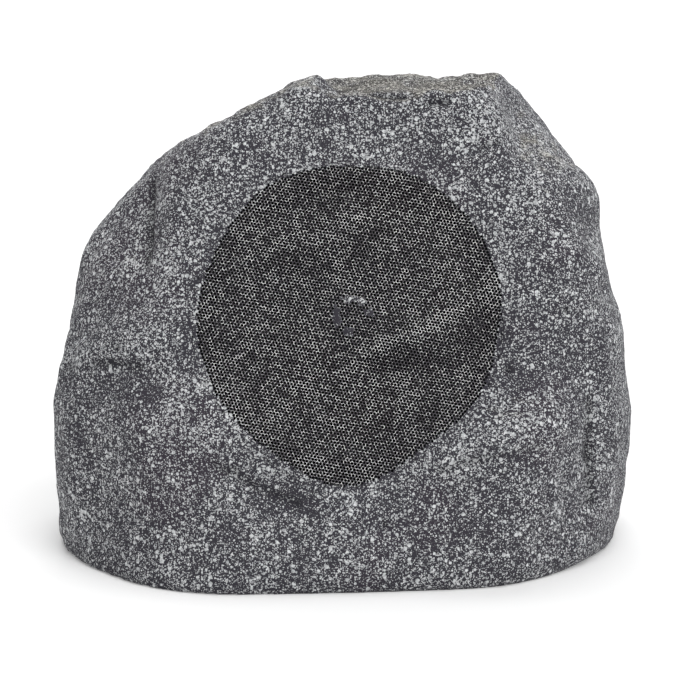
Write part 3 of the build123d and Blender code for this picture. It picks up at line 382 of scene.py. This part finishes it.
def skin_weight(mesh):
    """How much grain each corner takes, how far it lies under the skin, and whether it is painted dark: the
    shell's inside, as bare dark resin and as shade behind the grille, and, as painted shade, the rock under the
    grille's rim.
    """
    points = coordinates(mesh)
    tree = tree_of(mesh)
    depth = np.full(len(points), RAY_START)
    for i, point in enumerate(points):
        heading = Vector((point[0] - ROCK_CORE.x, point[1] - ROCK_CORE.y, 0.0)).normalized()
        level = max(point[2], SKIN_BOTTOM)
        start = Vector((ROCK_CORE.x, ROCK_CORE.y, level)) + heading * RAY_START
        hit = tree.ray_cast(start, -heading, RAY_START)[0]
        if hit is not None:
            depth[i] = (hit - Vector((point[0], point[1], level))).length
    depth[points[:, 2] > points[:, 2].max() - PLATEAU_BAND] = 0.0
    weight = (depth < SKIN_TOLERANCE).astype(float)
    inside = depth >= SKIN_TOLERANCE
    front = points[:, 1] < ROCK_CORE.y
    rim = rim_distance(points)
    weight *= np.where(front, smooth_step(rim, RIM_START, RIM_FADE), 1.0)
    gland_x, gland_z = gland_axis()
    pocket = np.hypot(points[:, 0] - gland_x, points[:, 2] - gland_z) - GLAND_POCKET
    weight *= np.where(front, 1.0, smooth_step(pocket, RIM_START, RIM_FADE))
    weight *= smooth_step(points[:, 2], FOOT_START, FOOT_FADE)
    # Painted dark: the inside above the foot and away from the gland's pocket, and, as painted shade, the rock
    # under the grille's rim
    inside &= (front | (pocket > RIM_FADE)) & (points[:, 2] > FOOT_ROUND)
    return weight, depth, inside | (front & (rim < UNDER_RIM))


def grain(point):
    """Height of the rock's natural grain at a point."""
    height = 0.0
    for i, (length, rise) in enumerate(SKIN_GRAIN):
        place = point / length + Vector([step * i for step in GRAIN_STEP])
        height += rise * noise.noise(place, noise_basis="PERLIN_NEW")
    return height


def sight(pixel):
    """The camera's place, and its direction to a pixel of the photograph."""
    eye, right, up, ahead = camera_axes()
    reach = CAMERA_SENSOR_MM / 2 / CAMERA_LENS_MM
    across = (pixel[0] / FRAME_PIXELS * 2 - 1) * reach
    above = (1 - pixel[1] / FRAME_PIXELS * 2) * reach
    return eye, (ahead + right * across + up * above).normalized()


def photo_point(tree, pixel):
    """Place on the rock that the camera sees at a pixel of the photograph."""
    return tree.ray_cast(*sight(pixel))[0]


def sheet_point(pixel):
    """Place on the grille's face, across and up in the driver's frame, that the camera sees at a pixel."""
    eye, heading = sight(pixel)
    start = to_driver(np.array(eye))
    run = DRIVER_AXES @ np.array(heading)
    place = np.zeros(3)
    for _ in range(4):
        height = FACE.height(place[:1], place[1:2])[0]
        place = start + run * (height - start[2]) / run[2]
    return place[:2]


def course_distance(points, course):
    """Distance of each point from a course of straight runs."""
    nearest = np.full(len(points), np.inf)
    for start, end in zip(course, course[1:]):
        run = np.array(end - start)
        share = np.clip(((points - np.array(start)) @ run) / (run @ run), 0.0, 1.0)
        gap = points - (np.array(start) + share[:, None] * run)
        nearest = np.minimum(nearest, np.linalg.norm(gap, axis=1))
    return nearest


def shading(points, shades, locate):
    """Painted light and shade at each point, near courses of pixels that are located on the piece: shade where
    above 0, light where below.
    """
    bare = np.zeros(len(points))
    for amount, width, pixels in shades.values():
        course = [locate(pixel) for pixel in pixels]
        bare += amount * np.exp(-((course_distance(points, course) / (width * MM)) ** 2))
    return bare


def marks(points, tree):
    """Height of the creases, ledges and pits at each point, and how much shade lies in the narrow ones."""
    height = np.zeros(len(points))
    shade = np.zeros(len(points))
    for rise, width, pixels in ROCK_MARKS.values():
        course = [photo_point(tree, pixel) for pixel in pixels]
        course = [place for place in course if place is not None]
        near = np.exp(-(course_distance(points, course) / (width * MM)) ** 2)
        height += rise * MM * near
        if rise < 0 and width < NARROW_MARK:
            shade = np.maximum(shade, near * -rise * MM / SHADE_DEPTH)
    for pixel in ROCK_PITS:
        gap = np.linalg.norm(points - np.array(photo_point(tree, pixel)), axis=1)
        near = np.exp(-(gap / PIT_WIDTH) ** 2)
        height -= PIT_DEPTH * near
        shade = np.maximum(shade, near * PIT_DEPTH / SHADE_DEPTH)
    return height, shade


def foot_shift(points):
    """How far the rock's foot reaches out at its toe, less what it curls in underneath."""
    angle = np.arctan2(points[:, 1] - ROCK_CORE.y, points[:, 0] - ROCK_CORE.x)
    heading = np.degrees(angle) % 360
    toe = TOE_REACH * (smooth_step(heading, *TOE_RISE) - smooth_step(heading, *TOE_FALL))
    toe *= np.clip(1 - points[:, 2] / TOE_HEIGHT, 0.0, 1.0) ** 2
    low = np.clip(1 - points[:, 2] / FOOT_ROUND, 0.0, 1.0)
    return toe - FOOT_TUCK * (1 - np.sqrt(1 - low**2))


def shape_foot(points, depth):
    """Moves the foot's skin out from the core or in towards it, and keeps its underside within the skin."""
    outward = points[:, :2] - np.array(ROCK_CORE)[:2]
    outward /= np.linalg.norm(outward, axis=1)[:, None]
    shift = foot_shift(points)
    under = np.where(points[:, 2] < SKIN_BOTTOM, np.minimum(depth + shift, 0.0), 0.0)
    shift = np.where(depth < SKIN_TOLERANCE, shift, under)
    points[:, :2] += outward * shift[:, None]


def group_corners(rock, weight):
    """Groups for smoothing and thinning: the skin, and all that isn't."""
    skin = rock.vertex_groups.new(name="skin")
    inner = rock.vertex_groups.new(name="inner")
    for i, value in enumerate(weight):
        if value > 0:
            skin.add([i], value, "REPLACE")
        else:
            inner.add([i], 1.0, "REPLACE")


def roughen(mesh, weight, depth, inside):
    """Gives the skin its marks, grain and foot, and the paint its painted light on ledges and painted shade in
    hollows, painted shade in narrow creases and pits, and its dark inside.
    """
    points = coordinates(mesh)
    facing = normals(mesh)
    tree = tree_of(mesh)
    height, shade = marks(points, tree)
    # Painted light on ledges and painted shade in hollows, for the flecks to follow
    keep(mesh, "bare", shading(points, ROCK_PAINTED_LIGHT_AND_SHADE, lambda pixel: photo_point(tree, pixel)))
    rough = 1 + TOP_ROUGHNESS * smooth_step(facing[:, 2], *TOP_LEAN)
    for i in np.flatnonzero(weight):
        height[i] += rough[i] * grain(Vector(points[i]))
    points += facing * (weight * height)[:, None]
    points[:, 2] = np.maximum(points[:, 2], 0.0)
    shape_foot(points, depth)
    # Painted shade in the narrow creases and pits, and the dark inside, for the paint to darken
    keep(mesh, "hollow", np.maximum(weight * shade, inside))
    mesh.vertices.foreach_set("co", points.ravel())
    mesh.update()


def make_rock():
    rock = node_copy("rock_shell", "rock")
    modify(rock, "REMESH", mode="VOXEL", voxel_size=ROCK_VOXEL)
    weight, depth, inside = skin_weight(rock.data)
    group_corners(rock, weight)
    modify(rock, "SMOOTH", iterations=ROCK_SMOOTHING, vertex_group="skin")
    roughen(rock.data, weight, depth, inside)
    modify(rock, "DECIMATE", ratio=INNER_DETAIL, vertex_group="inner")
    rock.data.shade_smooth()
    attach(rock, "enclosure")
    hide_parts("rock_shell")
    return rock


# Grille

def cell_corners(i, j):
    """Keys of a cell's six corners, anticlockwise: each is shared by three cells."""
    return ((0, i, j), (1, i - 1, j), (0, i - 1, j), (1, i - 1, j - 1), (0, i, j - 1), (1, i, j - 1))


def lattice(i, j):
    """A place on the turned triangular lattice."""
    x = HOLE_PITCH * (i + j / 2)
    y = HOLE_PITCH * j * math.sqrt(3) / 2
    c, s = math.cos(HOLE_ROW_ANGLE), math.sin(HOLE_ROW_ANGLE)
    return x * c - y * s, x * s + y * c


def corner_place(kind, i, j):
    """Middle of the triangle of lattice places that a corner stands for."""
    trio = ((i, j), (i + 1, j), (i, j + 1)) if kind == 0 else ((i + 1, j), (i + 1, j + 1), (i, j + 1))
    places = [lattice(*place) for place in trio]
    return sum(p[0] for p in places) / 3, sum(p[1] for p in places) / 3


def edge_radius(x, y):
    return float(outline_radius(math.atan2(y, x))) + SHEET_GAP


def grille_cells():
    """Cells whose holes lie inside the border."""
    reach = int(OUTLINE_RADII.max() / HOLE_PITCH * 1.3)
    cells = []
    for i in range(-reach, reach + 1):
        for j in range(-reach, reach + 1):
            x, y = lattice(i, j)
            if math.hypot(x, y) + HOLE_RADIUS + SHEET_BORDER < edge_radius(x, y):
                cells.append((i, j))
    return cells


def ring_place(x, y):
    """Distance from the badge seat's middle, and angle round it in degrees."""
    across = x - RING_CENTRE[0]
    up = y - RING_CENTRE[1]
    return np.hypot(across, up), np.degrees(np.arctan2(up, across))


def in_stretch(angle, stretch):
    """Whether an angle lies within a stretch of the ring."""
    middle, half = stretch
    return np.abs((angle - middle + 180) % 360 - 180) < half


def blind(x, y):
    """Whether a hole is left out because the badge seat's ring covers it."""
    distance, angle = ring_place(x, y)
    inside = RING_INNER - HOLE_RADIUS / 2 < distance < RING_OUTER + HOLE_RADIUS / 2
    return inside and any(in_stretch(angle, stretch) for stretch in RING_BLIND)


def add_lip(places, faces, edge):
    """A strip from the sheet's edge that runs out into the rock's rim."""
    edge = sorted(edge, key=lambda corner: math.atan2(places[corner][1], places[corner][0]))
    first = len(places)
    for corner in edge:
        x, y, _ = places[corner]
        stretch = 1 + LIP_REACH / math.hypot(x, y)
        places.append((x * stretch, y * stretch, -LIP_DIP))
    for k, corner in enumerate(edge):
        after = (k + 1) % len(edge)
        faces.append((corner, first + k, first + after, edge[after]))


def add_hole(places, faces, middle, corners):
    """Facets from a cell's corners to its hole, and the hole's wall."""
    x, y = middle
    first = len(places)
    for depth in (0.0, -WALL_TOP, -SHEET_THICKNESS):
        for k in range(6):
            turn = HOLE_ROW_ANGLE + math.radians(60 * k + 30)
            places.append((x + HOLE_RADIUS * math.cos(turn), y + HOLE_RADIUS * math.sin(turn), depth))
    for k in range(6):
        after = (k + 1) % 6
        faces.append((first + k, corners[k], corners[after], first + after))
        faces.append((first + 6 + k, first + 6 + after, first + 12 + after, first + 12 + k))


def sheet_corners(cells):
    """Places of the cells' corners, each corner's number by its key, and the numbers of those on the edge."""
    uses = {}
    for i, j in cells:
        for key in cell_corners(i, j):
            uses[key] = uses.get(key, 0) + 1
    places, index, edge = [], {}, set()
    for key, count in uses.items():
        x, y = corner_place(*key)
        if count < 3:
            edge.add(len(places))
            stretch = edge_radius(x, y) / math.hypot(x, y)
            x, y = x * stretch, y * stretch
        index[key] = len(places)
        places.append((x, y, 0.0))
    return places, index, edge


def sheet_net():
    """Flat sheet: places, faces, which places lie down a hole, and which faces are painted like the rock."""
    cells = grille_cells()
    places, index, edge = sheet_corners(cells)
    faces, plain = [], set()
    for i, j in cells:
        middle = lattice(i, j)
        corners = [index[key] for key in cell_corners(i, j)]
        if blind(*middle):
            plain.add(len(faces))
            faces.append(corners)
        else:
            add_hole(places, faces, middle, corners)
    # Places down a hole take painted shade, so the holes' walls show near black
    deep = [depth < 0 for _, _, depth in places]
    stony = [i in plain or not edge.isdisjoint(face) for i, face in enumerate(faces)]
    add_lip(places, faces, edge)
    stony += [True] * (len(faces) - len(stony))
    deep += [False] * (len(places) - len(deep))
    return np.array(places), faces, deep, stony


def raise_sheet(places):
    """Lays the sheet on the grille's face, with its badge seat and crest, and gives its painted light and shade: a
    painted highlight on the seat's upper stretch, painted shade on its other blind stretches, and painted light
    and shade about the crest and ridge.
    """
    distance, angle = ring_place(places[:, 0], places[:, 1])
    ring = smooth_step(distance, RING_INNER - RING_ROUND, RING_INNER + RING_ROUND)
    ring -= smooth_step(distance, RING_OUTER - RING_ROUND, RING_OUTER + RING_ROUND)
    course = [sheet_point(pixel) for pixel in CREST]
    crest = np.exp(-((course_distance(places[:, :2], course) / CREST_WIDTH) ** 2))
    places[:, 2] += FACE.height(places[:, 0], places[:, 1]) + SHEET_RAISE
    places[:, 2] += RING_RISE * ring
    places[:, 2] += CREST_HEIGHT * crest
    covered = np.any([in_stretch(angle, stretch) for stretch in RING_BLIND], axis=0)
    bare = np.where(in_stretch(angle, RING_LIGHT), RING_PAINTED_HIGHLIGHT, RING_PAINTED_SHADE)
    return ring * covered * bare + shading(places[:, :2], GRILLE_PAINTED_LIGHT_AND_SHADE, sheet_point)


def make_grille(rock_paint):
    """Perforated sheet with a badge seat, and with an edge painted like the rock."""
    places, faces, deep, stony = sheet_net()
    bare = raise_sheet(places)
    mesh = bpy.data.meshes.new("grille_sheet")
    mesh.from_pydata(from_driver(places).tolist(), [], faces)
    mesh.update()
    # Painted shade down the holes, then painted light and shade on the sheet's face
    keep(mesh, "hollow", deep)
    keep(mesh, "bare", bare)
    mesh.materials.append(stone_paint("grille_paint", GRILLE_PAINT))
    mesh.materials.append(rock_paint)
    mesh.polygons.foreach_set("material_index", np.array(stony, dtype=np.int32))
    grille = add_piece("grille_sheet", mesh)
    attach(grille, "enclosure")
    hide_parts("grille")


# Materials

def srgb(red, green, blue):
    """A colour as it shows, in 0 to 255, as linear values."""
    linear = []
    for value in (red, green, blue):
        share = value / 255
        linear.append(share / 12.92 if share <= 0.04045 else ((share + 0.055) / 1.055) ** 2.4)
    return (*linear, 1.0)


def add(tree, kind, inputs=None, **settings):
    """A node with its settings, its inputs set to values or linked to other sockets."""
    node = tree.nodes.new(kind)
    for name, value in settings.items():
        setattr(node, name, value)
    for name, value in (inputs or {}).items():
        if isinstance(value, bpy.types.NodeSocket):
            tree.links.new(value, node.inputs[name])
        else:
            node.inputs[name].default_value = value
    return node


def combine(tree, operation, *values):
    return add(tree, "ShaderNodeMath", dict(enumerate(values)), operation=operation).outputs[0]


def remap(tree, value, low, high, out_low=0.0, out_high=1.0):
    inputs = {"Value": value, "From Min": low, "From Max": high, "To Min": out_low, "To Max": out_high}
    return add(tree, "ShaderNodeMapRange", inputs, interpolation_type="SMOOTHSTEP").outputs["Result"]


def mix(tree, share, first, second):
    return add(tree, "ShaderNodeMix", {0: share, 6: first, 7: second}, data_type="RGBA").outputs[2]


def grey_noise(tree, vector, size, detail=3.0, roughness=0.5):
    """Noise from 0 to 1 with features of a size in metres."""
    inputs = {"Vector": vector, "Scale": 1 / size, "Detail": detail, "Roughness": roughness}
    return add(tree, "ShaderNodeTexNoise", inputs).outputs["Fac"]


def new_material(name):
    material = bpy.data.materials.new(name)
    material.use_nodes = True
    return material, material.node_tree, material.node_tree.nodes["Principled BSDF"]


def set_bump(tree, shader, height, strength, depth):
    raised = add(tree, "ShaderNodeBump", {"Height": height, "Strength": strength, "Distance": depth})
    tree.links.new(raised.outputs["Normal"], shader.inputs["Normal"])


# Range of a noise that is used in full
NOISE_SPAN = (0.3, 0.7)
# Flecks: how soft their edges are, how far and how finely these are ragged, and how far they stand out
FLECK_SOFT = 0.09 * MM
FLECK_WARP = 0.7 * MM
FLECK_RAGGED = 0.9 * MM
FLECK_RISE = 0.2
# Crowding of the flecks: its size, their reach from sparse to crowded, and how much painted shade takes off it and
# painted light adds to it
CROWD_SIZE = 22.0 * MM
CROWD_RANGE = (0.82, 1.12)
PAINTED_SHADE_FLECK_LOSS = 0.8
# Dust on what faces up: the lean at which it starts and is in full, and how uneven that is and over what size
DUST_LEAN = (0.75, 1.05)
DUST_UNEVEN = 0.5
DUST_SIZE = 18.0 * MM
# Patches of the ground: their size, the noise at which they start and are in full, and their share then
PATCH_SIZE = 70.0 * MM
PATCH_SPAN = (0.5, 0.68)
PATCH_SHARE = 0.7
# Mottling and sand of the paint, and its surface
TONE_SIZE = 2.0 * MM
SAND_SIZE = 1.6 * MM
SAND_DETAIL = 4.0
SAND_ROUGHNESS = 0.6
SAND_DEPTH = 0.6 * MM
PAINT_ROUGHNESS = (0.75, 0.92)
PAINT_SHINE = 0.25


def warped(tree, place):
    """Place shifted to and fro, so that what is drawn there gets ragged edges."""
    shift = add(tree, "ShaderNodeTexNoise", {"Vector": place, "Scale": 1 / FLECK_RAGGED, "Detail": 1.0})
    inputs = {0: shift.outputs["Color"], 1: (FLECK_WARP,) * 3, 2: place}
    return add(tree, "ShaderNodeVectorMath", inputs, operation="MULTIPLY_ADD").outputs[0]


def spatter_layer(tree, place, size, reach, rarity, crowd):
    """Flecks about scattered points: few of them reach the full radius, given in the points' spacing."""
    points = add(tree, "ShaderNodeTexVoronoi", {"Vector": place, "Scale": 1 / size})
    chance = add(tree, "ShaderNodeSeparateColor", {0: points.outputs["Color"]}).outputs[0]
    radius = combine(tree, "MULTIPLY", combine(tree, "POWER", chance, rarity), reach)
    radius = combine(tree, "MULTIPLY", radius, crowd)
    soft = FLECK_SOFT / size
    return remap(tree, combine(tree, "SUBTRACT", radius, points.outputs["Distance"]), -soft, soft)


def facing_up(tree, place):
    """Upward lean of the surface, and how dusty that makes it."""
    normal = add(tree, "ShaderNodeSeparateXYZ", {0: add(tree, "ShaderNodeNewGeometry").outputs["Normal"]})
    lean = normal.outputs["Z"]
    uneven = combine(tree, "MULTIPLY_ADD", grey_noise(tree, place, DUST_SIZE), DUST_UNEVEN, -DUST_UNEVEN / 2)
    return lean, remap(tree, combine(tree, "ADD", lean, uneven), *DUST_LEAN)


def fleck_crowd(tree, place, lean, paint):
    """How far the flecks reach: further in patches, further on what faces up, as painted light and as spray that
    lands from above, less under painted shade and further under painted light.
    """
    crowd = remap(tree, grey_noise(tree, place, CROWD_SIZE), *NOISE_SPAN, *CROWD_RANGE)
    # Painted light, and spray from above: more flecks on what faces up
    crowd = combine(tree, "MULTIPLY_ADD", lean, paint["lean"], crowd)
    bare = add(tree, "ShaderNodeAttribute", attribute_name="bare").outputs["Fac"]
    return combine(tree, "MULTIPLY_ADD", bare, -PAINTED_SHADE_FLECK_LOSS, crowd)


def fleck_cover(tree, place, crowd, paint):
    """Where flecks of any size lie."""
    ragged = warped(tree, place)
    cover = 0.0
    for size, reach, rarity in paint["flecks"]:
        layer = spatter_layer(tree, ragged, size, reach, rarity, crowd)
        cover = combine(tree, "MAXIMUM", cover, layer)
    return cover


def paint_colours(tree, place, tone, dusty, paint):
    """Colours of the dark ground and of the pale flecks."""
    patch = remap(tree, grey_noise(tree, place, PATCH_SIZE), *PATCH_SPAN, 0.0, PATCH_SHARE)
    dark = mix(tree, tone, *[srgb(*colour) for colour in paint["dark"]])
    dark = mix(tree, patch, dark, srgb(*paint["patch"]))
    dark = mix(tree, dusty, dark, srgb(*paint["dust"]))
    pale = mix(tree, tone, *[srgb(*colour) for colour in paint["pale"]])
    return dark, mix(tree, dusty, pale, srgb(*paint["dust_pale"]))


def stone_paint(name, paint):
    """Dark grey paint spattered with pale flecks, dusty where it faces up, with flecks thinned by painted shade
    and crowded by painted light, and near black without shine where painted shade lies in creases, pits and holes
    and where the inside is dark.
    """
    material, tree, shader = new_material(name)
    place = add(tree, "ShaderNodeTexCoord").outputs["Object"]
    lean, dusty = facing_up(tree, place)
    spatter = fleck_cover(tree, place, fleck_crowd(tree, place, lean, paint), paint)
    tone = remap(tree, grey_noise(tree, place, TONE_SIZE), *NOISE_SPAN)
    colour = mix(tree, spatter, *paint_colours(tree, place, tone, dusty, paint))
    # Painted shade: near black and without shine in creases, pits, holes and the dark inside
    hollow = add(tree, "ShaderNodeAttribute", attribute_name="hollow").outputs["Fac"]
    colour = mix(tree, hollow, colour, srgb(*paint["hollow"]))
    tree.links.new(colour, shader.inputs["Base Color"])
    tree.links.new(remap(tree, tone, 0.0, 1.0, *PAINT_ROUGHNESS), shader.inputs["Roughness"])
    tree.links.new(remap(tree, hollow, 0.0, 1.0, PAINT_SHINE, 0.0), shader.inputs["Specular IOR Level"])
    sand = grey_noise(tree, place, SAND_SIZE, SAND_DETAIL, SAND_ROUGHNESS)
    height = combine(tree, "MULTIPLY_ADD", spatter, FLECK_RISE, sand)
    set_bump(tree, shader, height, paint["bump"], SAND_DEPTH)
    return material


# Hidden nodes: how little they shine, their grain, and how far their roughness swings over a range of noise
MATT = 0.1
GRAIN_DETAIL = 4.0
GRAIN_BUMP = 0.25
GRAIN_DEPTH = 0.2 * MM
ROUGH_SWING = 0.1
ROUGH_SPAN = (0.2, 0.8)
# Finish of the hidden nodes: two colours, the size of their mottling, roughness and metal
NODE_FINISH = {
    "base_plastic": ((30, 30, 31), (40, 40, 41), 3 * MM, 0.6, 0.0),
    "black_plastic": ((7, 7, 8), (13, 13, 14), 2 * MM, 0.75, 0.0),
    "seal_rubber": ((7, 7, 7), (13, 13, 13), 2 * MM, 0.85, 0.0),
    "screw_steel": ((26, 26, 28), (40, 40, 42), 1 * MM, 0.55, 1.0),
    "basket_paint": ((7, 7, 8), (13, 13, 14), 4 * MM, 0.75, 0.0),
    "cone_paper": ((7, 7, 8), (14, 14, 15), 1.5 * MM, 0.9, 0.0),
    "former_foil": ((180, 180, 182), (205, 205, 206), 2 * MM, 0.3, 1.0),
    "coil_wire": ((170, 92, 52), (205, 120, 70), 0.6 * MM, 0.3, 1.0),
    "spider_cloth": ((165, 130, 66), (190, 155, 90), 0.8 * MM, 0.9, 0.0),
    "pole_steel": ((140, 140, 143), (170, 170, 172), 2 * MM, 0.35, 1.0),
    "ferrite": ((40, 40, 42), (58, 58, 60), 1 * MM, 0.6, 0.0),
    "dome_cloth": ((8, 8, 9), (15, 15, 16), 0.5 * MM, 0.8, 0.0),
    "board_laminate": ((112, 82, 40), (140, 104, 56), 3 * MM, 0.6, 0.0),
    "capacitor_case": ((150, 122, 24), (176, 146, 40), 5 * MM, 0.3, 0.0),
    "resistor_body": ((200, 196, 184), (222, 218, 208), 1 * MM, 0.8, 0.0),
    "terminal_plastic": ((22, 80, 44), (34, 98, 58), 3 * MM, 0.4, 0.0),
    "lead_jacket": ((22, 22, 22), (36, 36, 36), 2 * MM, 0.6, 0.0),
    "wadding": ((205, 203, 194), (232, 230, 224), 2.5 * MM, 0.95, 0.0),
}


def plain_finish(slot):
    """A mottled finish with a fine grain."""
    low, high, size, roughness, metal = NODE_FINISH[slot]
    material, tree, shader = new_material(slot)
    place = add(tree, "ShaderNodeTexCoord").outputs["Object"]
    tone = grey_noise(tree, place, size, GRAIN_DETAIL)
    colour = mix(tree, remap(tree, tone, *NOISE_SPAN), srgb(*low), srgb(*high))
    tree.links.new(colour, shader.inputs["Base Color"])
    smoothest = max(0.0, roughness - ROUGH_SWING)
    roughest = min(1.0, roughness + ROUGH_SWING)
    tree.links.new(remap(tree, tone, *ROUGH_SPAN, smoothest, roughest), shader.inputs["Roughness"])
    shader.inputs["Metallic"].default_value = metal
    shader.inputs["Specular IOR Level"].default_value = MATT
    set_bump(tree, shader, tone, GRAIN_BUMP, GRAIN_DEPTH)
    return material


# Paints: colours as they show, the near black one for painted shade and dark insides, layers of flecks by size,
# reach and rarity, and how lean and bump count: lean adds flecks on what faces up, as painted light and as spray
# from above
ROCK_PAINT = {
    "dark": ((47, 46, 53), (57, 55, 62)),
    "patch": (54, 48, 57),
    "hollow": (14, 13, 14),
    "dust": (72, 70, 67),
    "pale": ((160, 162, 164), (222, 224, 225)),
    "dust_pale": (186, 184, 178),
    "flecks": ((0.88 * MM, 0.55, 1.0), (1.4 * MM, 0.58, 2.0), (2.5 * MM, 0.6, 4.0)),
    "lean": 0.05,
    "bump": 0.25,
}
GRILLE_PAINT = {
    "dark": ((82, 79, 84), (104, 101, 107)),
    "patch": (88, 82, 87),
    "hollow": (3, 3, 3),
    "dust": (104, 102, 99),
    "pale": ((215, 216, 217), (252, 252, 251)),
    "dust_pale": (210, 210, 204),
    "flecks": ((0.9 * MM, 0.6, 1.0), (1.6 * MM, 0.6, 2.0)),
    "lean": 0.2,
    "bump": 0.15,
}


def wear(piece, material):
    piece.data.materials.clear()
    piece.data.materials.append(material)


def finish_nodes():
    """Gives every CAD node that still shows the finish of its slot."""
    slots = {part["node"]: part["material_slot"] for part in frame["record"]["subparts"]}
    made = {}
    for name, node in NODES.items():
        slot = slots[name]
        if slot in NODE_FINISH:
            if slot not in made:
                made[slot] = plain_finish(slot)
            wear(node, made[slot])


# Soft pieces that stretch between the frame and the cone

def stretched(node, name):
    """A copy of a soft ring, shaded smooth and worn with its node's finish, in place of the node."""
    piece = node_copy(node, name)
    heights = to_driver(coordinates(piece.data))[:, 2]
    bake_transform(piece)
    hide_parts(node)
    wear(piece, NODES[node].data.materials[0])
    piece.data.shade_smooth()


# Stage

def seen_directly(tree):
    """1 for rays from the camera, in reflections and through clear things, and 0 for light."""
    path = add(tree, "ShaderNodeLightPath")
    seen = combine(tree, "MAXIMUM", path.outputs["Is Camera Ray"], path.outputs["Is Glossy Ray"])
    return combine(tree, "MAXIMUM", seen, path.outputs["Is Transmission Ray"])


def floor_white():
    """Matt white with a faint glow that only the viewer sees."""
    material, tree, shader = new_material("floor_white")
    shader.inputs["Base Color"].default_value = (FLOOR_SHADE, FLOOR_SHADE, FLOOR_SHADE, 1.0)
    shader.inputs["Roughness"].default_value = 1.0
    shader.inputs["Specular IOR Level"].default_value = 0.0
    strength = combine(tree, "MULTIPLY", seen_directly(tree), FLOOR_GLOW)
    glow = add(tree, "ShaderNodeEmission", {"Strength": strength})
    both = add(tree, "ShaderNodeAddShader", {0: shader.outputs[0], 1: glow.outputs[0]})
    tree.links.new(both.outputs[0], tree.nodes["Material Output"].inputs["Surface"])
    return material


def make_floor():
    mesh = bpy.data.meshes.new("floor")
    corners = [(x * FLOOR_REACH, y * FLOOR_REACH, 0) for x, y in ((-1, -1), (1, -1), (1, 1), (-1, 1))]
    mesh.from_pydata(corners, [], [(0, 1, 2, 3)])
    floor = add_piece("floor", mesh)
    wear(floor, floor_white())


def make_world():
    world = bpy.data.worlds.new("studio")
    world.use_nodes = True
    tree = world.node_tree
    background = tree.nodes["Background"]
    background.inputs["Color"].default_value = (1, 1, 1, 1)
    strength = remap(tree, seen_directly(tree), 0.0, 1.0, AMBIENT, 1.0)
    tree.links.new(strength, background.inputs["Strength"])
    bpy.context.scene.world = world


def make_sun(name, heading, height, strength, spread):
    """A soft distant light, aimed at the middle of the floor."""
    lamp = bpy.data.lights.new(name, "SUN")
    lamp.energy = strength
    lamp.angle = math.radians(spread)
    holder = bpy.data.objects.new(name, lamp)
    bpy.context.scene.collection.objects.link(holder)
    turn, lift = math.radians(heading), math.radians(height)
    source = Vector((math.sin(turn) * math.cos(lift), -math.cos(turn) * math.cos(lift), math.sin(lift)))
    holder.location = source * SUN_DISTANCE
    holder.rotation_euler = source.to_track_quat("Z", "Y").to_euler()


def camera_axes():
    """The camera's place, and its directions right, up and ahead."""
    back = Vector((0.0, -math.cos(CAMERA_ELEVATION), math.sin(CAMERA_ELEVATION)))
    return CAMERA_TARGET + back * CAMERA_DISTANCE, RIGHT, back.cross(RIGHT), -back


def make_camera():
    camera = bpy.data.cameras.new("camera")
    camera.sensor_width = CAMERA_SENSOR_MM
    camera.lens = CAMERA_LENS_MM
    camera.clip_end = 100.0
    holder = bpy.data.objects.new("camera", camera)
    bpy.context.scene.collection.objects.link(holder)
    eye, _, _, ahead = camera_axes()
    holder.location = eye
    holder.rotation_euler = ahead.to_track_quat("-Z", "Y").to_euler()
    bpy.context.scene.camera = holder


make_camera()
make_world()
make_floor()
for sun_name, sun in SUNS.items():
    make_sun(sun_name, *sun)
finish_nodes()
ROCK_FINISH = stone_paint("rock_paint", ROCK_PAINT)
wear(make_rock(), ROCK_FINISH)
make_grille(ROCK_FINISH)
stretched("woofer_surround", "surround")
stretched("spider", "spider_disc")

bpy.context.scene.view_settings.view_transform = "Standard"
